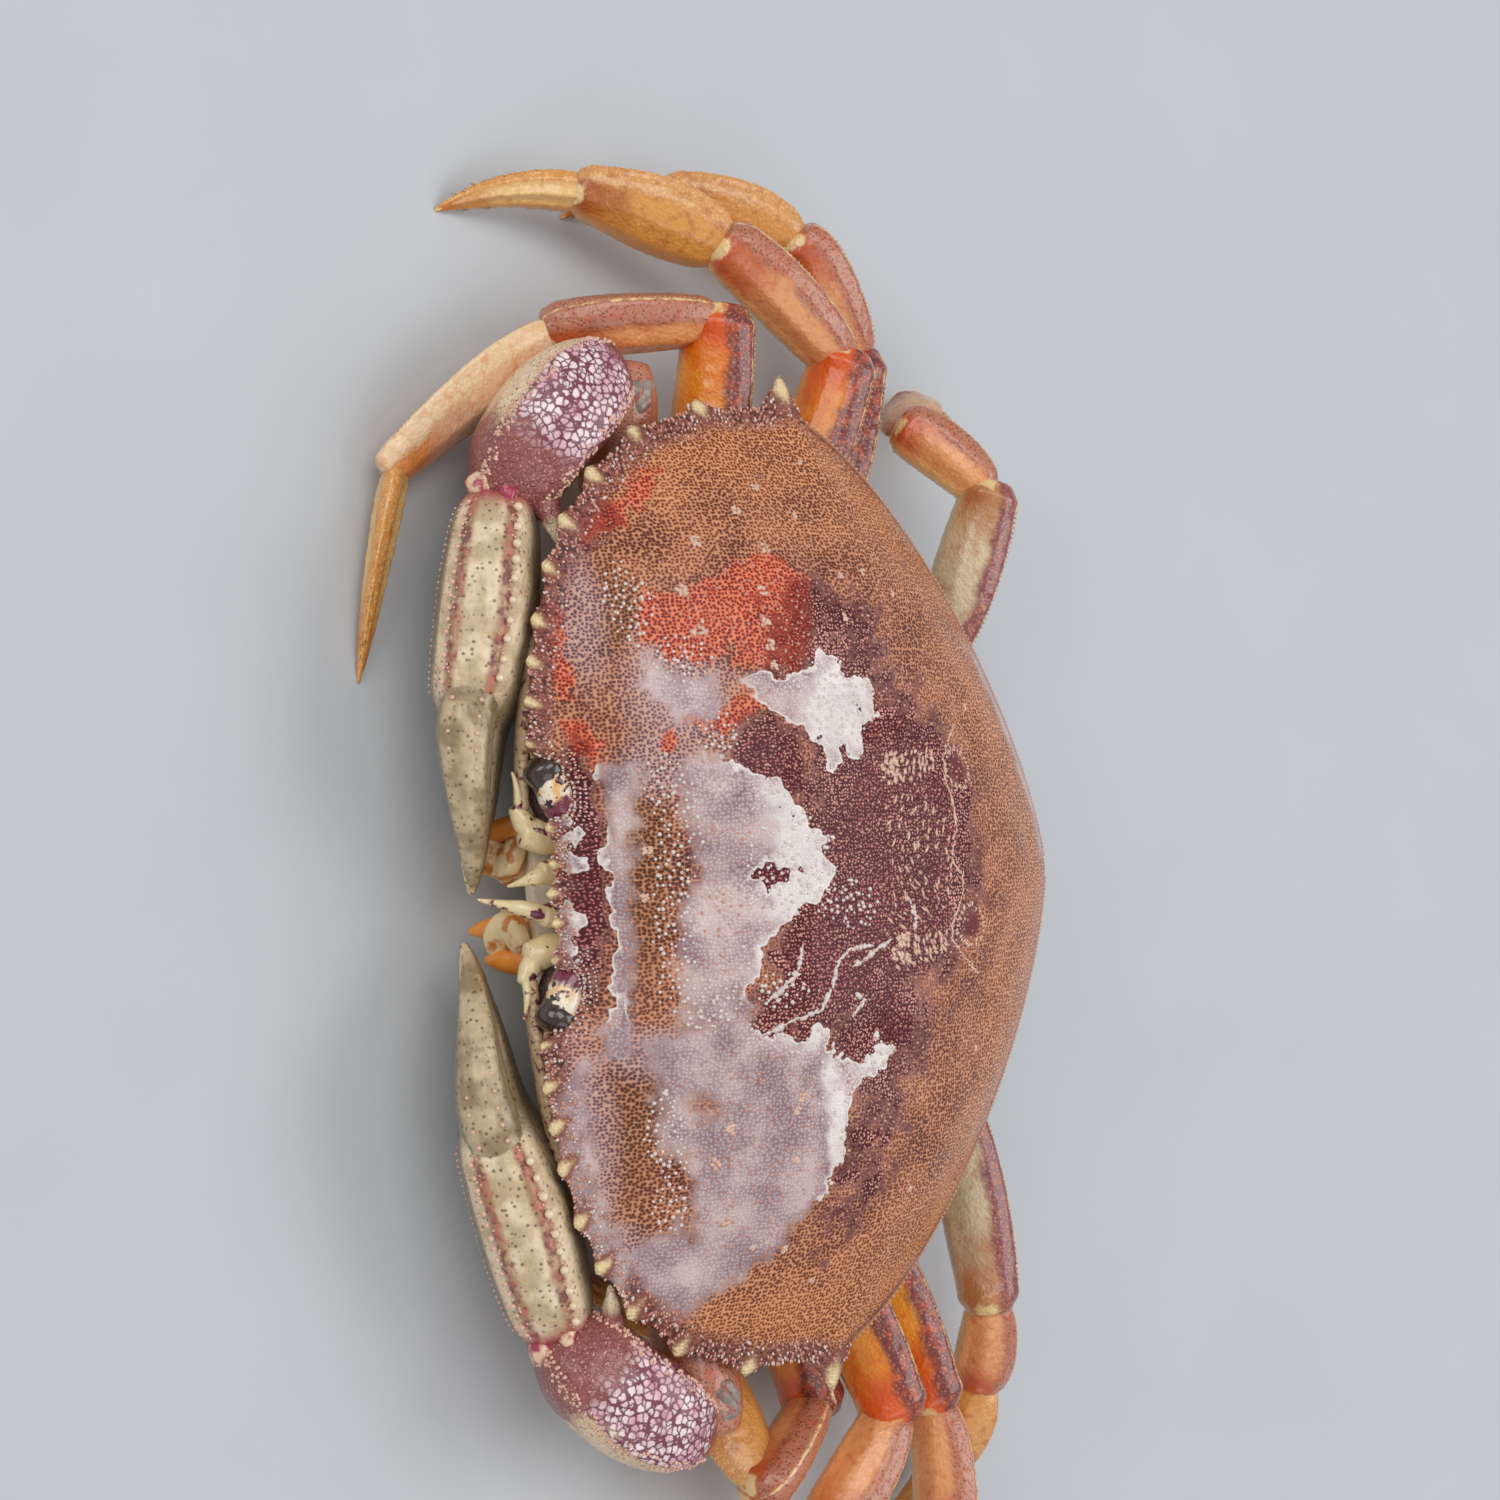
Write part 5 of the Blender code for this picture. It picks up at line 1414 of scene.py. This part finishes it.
bm = bmesh.new()
bmesh.ops.create_grid(bm, x_segments=260, y_segments=110, size=0.5)
for vert in bm.verts:
    turn, spot = (vert.co.x + 0.5) * math.tau, vert.co.y + 0.5
    floor_share = min(1.0, spot / FLAT_PART)
    point = breast_point(turn, max(0.0, (spot - FLAT_PART) / (1 - FLAT_PART)) ** 1.3)
    point = Vector((point.x * floor_share, point.y * floor_share, point.z))
    groove = sum((bell(point.y - line + 0.22 * abs(point.x) - 2, 0.8) for line in PLATE_LINES))
    groove *= min(1.0, max(0.0, (abs(point.x) - 5) / 8))
    if spot > FLAT_PART:
        point *= 1 - 0.025 * groove
        point += point.normalized() * (noise.noise(point * 0.35) * 0.3 + noise.noise(point * 0.12)
                * 0.8)
    else:
        furrow = float(np.interp(point.y, [row[0] for row in TAIL[:3:-1]],
                [row[2] for row in TAIL[:3:-1]]))
        furrow = 1 / (1 + math.exp((abs(point.x) - furrow - 0.9) / 0.3)) * (point.y > -7.5)
        point.z += max(0.6 * groove, 1.1 * furrow)
    if point.y > 30:
        point.y += 2.0 * math.exp(-(point.x / 15) ** 4)
    vert.co = point
bmesh.ops.remove_doubles(bm, verts=bm.verts, dist=MERGE_DISTANCE)
bmesh.ops.holes_fill(bm, edges=[edge for edge in bm.edges if edge.is_boundary], sides=0)
settle(faced_out(bm), "breastplate", breast_skin, ["thorax"])

TAIL_STATIONS = tuple((k / 11, *row) for k, row in enumerate(TAIL))
TAIL_JOINTS = (0.10, 0.24, 0.38, 0.52, 0.68, 0.84)


def tail_line(share):
    y, z, half_width, half_thick = eased(TAIL_STATIONS, share)
    return Vector((0, y, z))


def tail_size(share):
    y, z, half_width, half_thick = eased(TAIL_STATIONS, share)
    step = sum((bell(share - joint, 0.006) for joint in TAIL_JOINTS))
    ridge = sum((bell(share - joint - 0.03, 0.012) for joint in TAIL_JOINTS))
    return max(0.6, half_width * (1 - 0.05 * step)), half_thick * (1 - 0.4 * step + 0.12 * ridge)


bm = bmesh.new()
limb_tube(bm, tail_line, tail_size, Vector((0, 1, 0.35)), around=64, along=240, cap=0.8, square=2.4,
          pores=0.06)
settle(faced_out(bm), "tail", breast_skin, ["abdomen"])

# The face
# Between the claws sit the short-stalked eyes in their sockets, two folded feelers, two stout
# feeler bases and the pair of plates that close over the mouth, with their orange palps.

cream_skin = new_skin("face_skin")
cloudy = clouds(3.0, 4.0)
colour = blend(clouds(0.8), tone(232, 200, 138), tone(250, 232, 188))
colour = blend(ramp(cloudy, 0.54, 0.6), colour, tone(112, 40, 62))
dress(Base_Color=colour, Roughness=0.26, Coat_Weight=0.5)
relief(clouds(0.7), 0.1)

plate_skin = new_skin("mouth_plate_skin")
colour = blend(clouds(3.0, 4.0), tone(234, 200, 140), tone(250, 228, 184))
colour = blend(ramp(clouds(3.0, 4.0), 0.5, 0.62), colour, tone(206, 124, 52))
dress(Base_Color=colour, Roughness=0.3, Coat_Weight=0.4)
relief(clouds(0.8), 0.1)

cheek_skin = new_skin("cheek_skin")
colour = blend(clouds(4.0, 4.0), tone(188, 150, 112), tone(236, 208, 166))
colour = blend(ramp(clouds(1.2, 4.0), 0.54, 0.62), colour, tone(128, 66, 66))
dress(Base_Color=colour, Roughness=0.34, Coat_Weight=0.3)
relief(clouds(0.8), 0.12)

palp_skin = new_skin("palp_skin")
dress(Base_Color=blend(clouds(1.6), tone(222, 112, 20), tone(248, 168, 64)), Roughness=0.3,
      Coat_Weight=0.4)
relief(clouds(0.6), 0.08)

eye_skin = new_skin("eye_skin")
dorsal, _, share, _ = read_map("skin_map")
veins = clouds(1.3, 3.0)
patchy = ramp(clouds(2.4, 2.0), 0.34, 0.62)
cream = blend(patchy, tone(244, 190, 124), tone(252, 238, 212))
cream = blend(ramp(veins, 0.53, 0.56), cream, tone(126, 52, 56))
cream = blend(ramp(veins, 0.57, 0.6), cream, tone(34, 26, 24))
maroon_end = ramp(veins * 0.3 + share, 0.56, 0.46)
colour = blend(maroon_end, cream, blend(veins, tone(96, 26, 48), tone(150, 66, 84)))
lens_edge = veins * 0.16 + share
lens = ramp(lens_edge - dorsal * 0.3, 0.49, 0.52)
facets = freckles(0.24)
colour = blend(lens, colour, blend(facets, tone(26, 16, 16), tone(84, 62, 50)))
dress(Base_Color=colour, Roughness=0.12, Coat_Weight=0.7, Coat_Roughness=0.04)
relief(facets, 0.012)


# A dark bowl under each eye stands for the shade inside its socket: painted shadow.
socket_shadow_skin = new_skin("eye_socket_shadow_skin")
colour = blend(ramp(freckles(0.7), 0.1, 0.4, 1.0, 0.0), tone(44, 18, 18), tone(120, 66, 58))
dress(Base_Color=colour, Roughness=0.4)
relief(clouds(0.6), 0.1)


def face_tube(bm, low, high, sizes, bow=0.0, upward=(0, 0, 1), around=24, along=30, square=2.1):
    """A small article of the face between two places."""
    low, high = Vector(low), Vector(high)
    limb_tube(bm, lambda s: low.lerp(high, s) + Vector((0, 0, bow * 4 * s * (1 - s))),
              lambda s: eased(sizes, s), Vector(upward), around=around, along=along, cap=0.4,
              square=square, pores=0.05)


EYE = ((0, 2.7, 2.6), (0.25, 3.6, 3.1), (0.5, 3.6, 3.1), (0.62, 3.5, 3.1), (0.8, 4.0, 3.6),
       (0.93, 3.6, 3.2), (1.0, 2.2, 2.0))
PLATE = ((0.0, -35.0, 3.4, 6.4, 4.6, 1.8), (0.25, -41.6, 5.4, 6.6, 5.2, 2.2),
         (0.5, -47.6, 9.2, 6.6, 5.2, 2.3), (0.75, -50.2, 13.4, 6.4, 4.4, 2.0),
         (1.0, -50.6, 17.0, 6.0, 2.6, 1.3))
PALPS = (((4.6, -49.8, 16.0), (5.6, -54.2, 7.4), 1.9), ((11.6, -45.6, 19.4), (10.4, -53.0, 10.0),
        2.3))
for side, label in ((-1, "right"), (1, "left")):
    bm = bmesh.new()
    face_tube(bm, (side * 11.8, -46.6, 27.8), (side * 22.0, -51.6, 27.6), EYE, around=40, along=60)
    settle(faced_out(bm), f"{label}_eye_stalk", eye_skin, [f"{label}_eye"])
    bm = bmesh.new()
    # the dark bowl of painted shadow in the socket
    ball(bm, (side * 17.6, -46.2, 23.6), (7.6, 5.6, 3.4), fineness=4)
    settle(faced_out(bm), f"{label}_eye_socket", socket_shadow_skin)

    def cheek_line(share):
        x = 14.0 + 30.0 * share
        y = front_line(x) * 0.945
        return Vector((side * x, y, 21.6 + 1.4 * share))

    def cheek_edge(turn, share, wide, high):
        return (wide, high * (1 + 0.05 * math.sin(share * 150) * bell(turn - math.pi / 2, 0.4)))

    bm = bmesh.new()
    limb_tube(bm, cheek_line, lambda s: (1.3, 1.6 + 2.0
            * math.sin(math.pi * min(1.0, s * 0.8 + 0.12))), Vector((0, -0.5, 1)), around=32,
            along=150, cap=0.5, square=2.2, sculpt=cheek_edge, pores=0.12)
    settle(faced_out(bm), f"{label}_cheek_plate", cheek_skin)

    bm = bmesh.new()
    face_tube(bm, (side * 9.0, -45.0, 22.6), (side * 9.8, -52.6, 22.2),
              ((0, 2.6, 2.4), (0.5, 3.1, 2.6), (1, 2.2, 1.9)))
    face_tube(bm, (side * 9.6, -50.8, 22.2), (side * 14.0, -53.8, 22.4),
              ((0, 1.6, 1.6), (0.5, 1.8, 1.8), (1, 1.1, 1.1)))
    face_tube(bm, (side * 13.2, -53.3, 22.4), (side * 19.5, -54.6, 23.6),
              ((0, 0.9, 0.9), (0.5, 0.6, 0.6), (1, 0.26, 0.26)), 0.8)
    settle(faced_out(bm), f"{label}_antenna_limb", cream_skin, [f"{label}_antenna"])

    bm = bmesh.new()
    face_tube(bm, (side * 3.5, -44.0, 23.8), (side * 3.4, -50.6, 24.2),
              ((0, 2.0, 1.8), (0.5, 2.4, 2.1), (1, 1.8, 1.6)))
    tip = (-1.6, -55.0, 21.6) if side < 0 else (0.4, -60.0, 20.4)
    face_tube(bm, (side * 3.4, -49.4, 24.2), tip, ((0, 1.5, 1.5), (0.45, 1.3, 1.3),
            (0.7, 0.75, 0.75), (1, 0.28, 0.28)), 0.9)
    settle(faced_out(bm), f"{label}_antennule_limb", cream_skin, [f"{label}_antennule"])

    bm = bmesh.new()
    limb_tube(bm, lambda s: Vector((side * eased(PLATE, s)[2], eased(PLATE, s)[0],
            eased(PLATE, s)[1])), lambda s: tuple(eased(PLATE, s)[3:5]), Vector((0, 0.4, -1)),
            around=40, along=50, cap=0.6, square=2.8, pores=0.1)
    settle(faced_out(bm), f"{label}_mouth_plate_limb", plate_skin, [f"{label}_mouth_plate"])
    bm = bmesh.new()
    for (x, y, z), (tip_x, tip_y, tip_z), girth in PALPS:
        face_tube(bm, (side * x, y, z), (side * tip_x, tip_y, tip_z),
                  ((0, girth * 0.8, girth * 0.7), (0.3, girth, girth * 0.8),
                   (0.75, girth * 0.8, girth * 0.65), (1, girth * 0.35, girth * 0.3)),
                  upward=(0, -1, 0))
    settle(faced_out(bm), f"{label}_palp", palp_skin)

# The finished crab
# The crab stands on the spot on the points of its legs and the folds of its claws. Its drawn
# size is noted beside the size of its solids.

low, high = cad_box
drawn_low, drawn_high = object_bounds()
{"cad": [list(low), list(high)], "visual": [list(drawn_low), list(drawn_high)]}
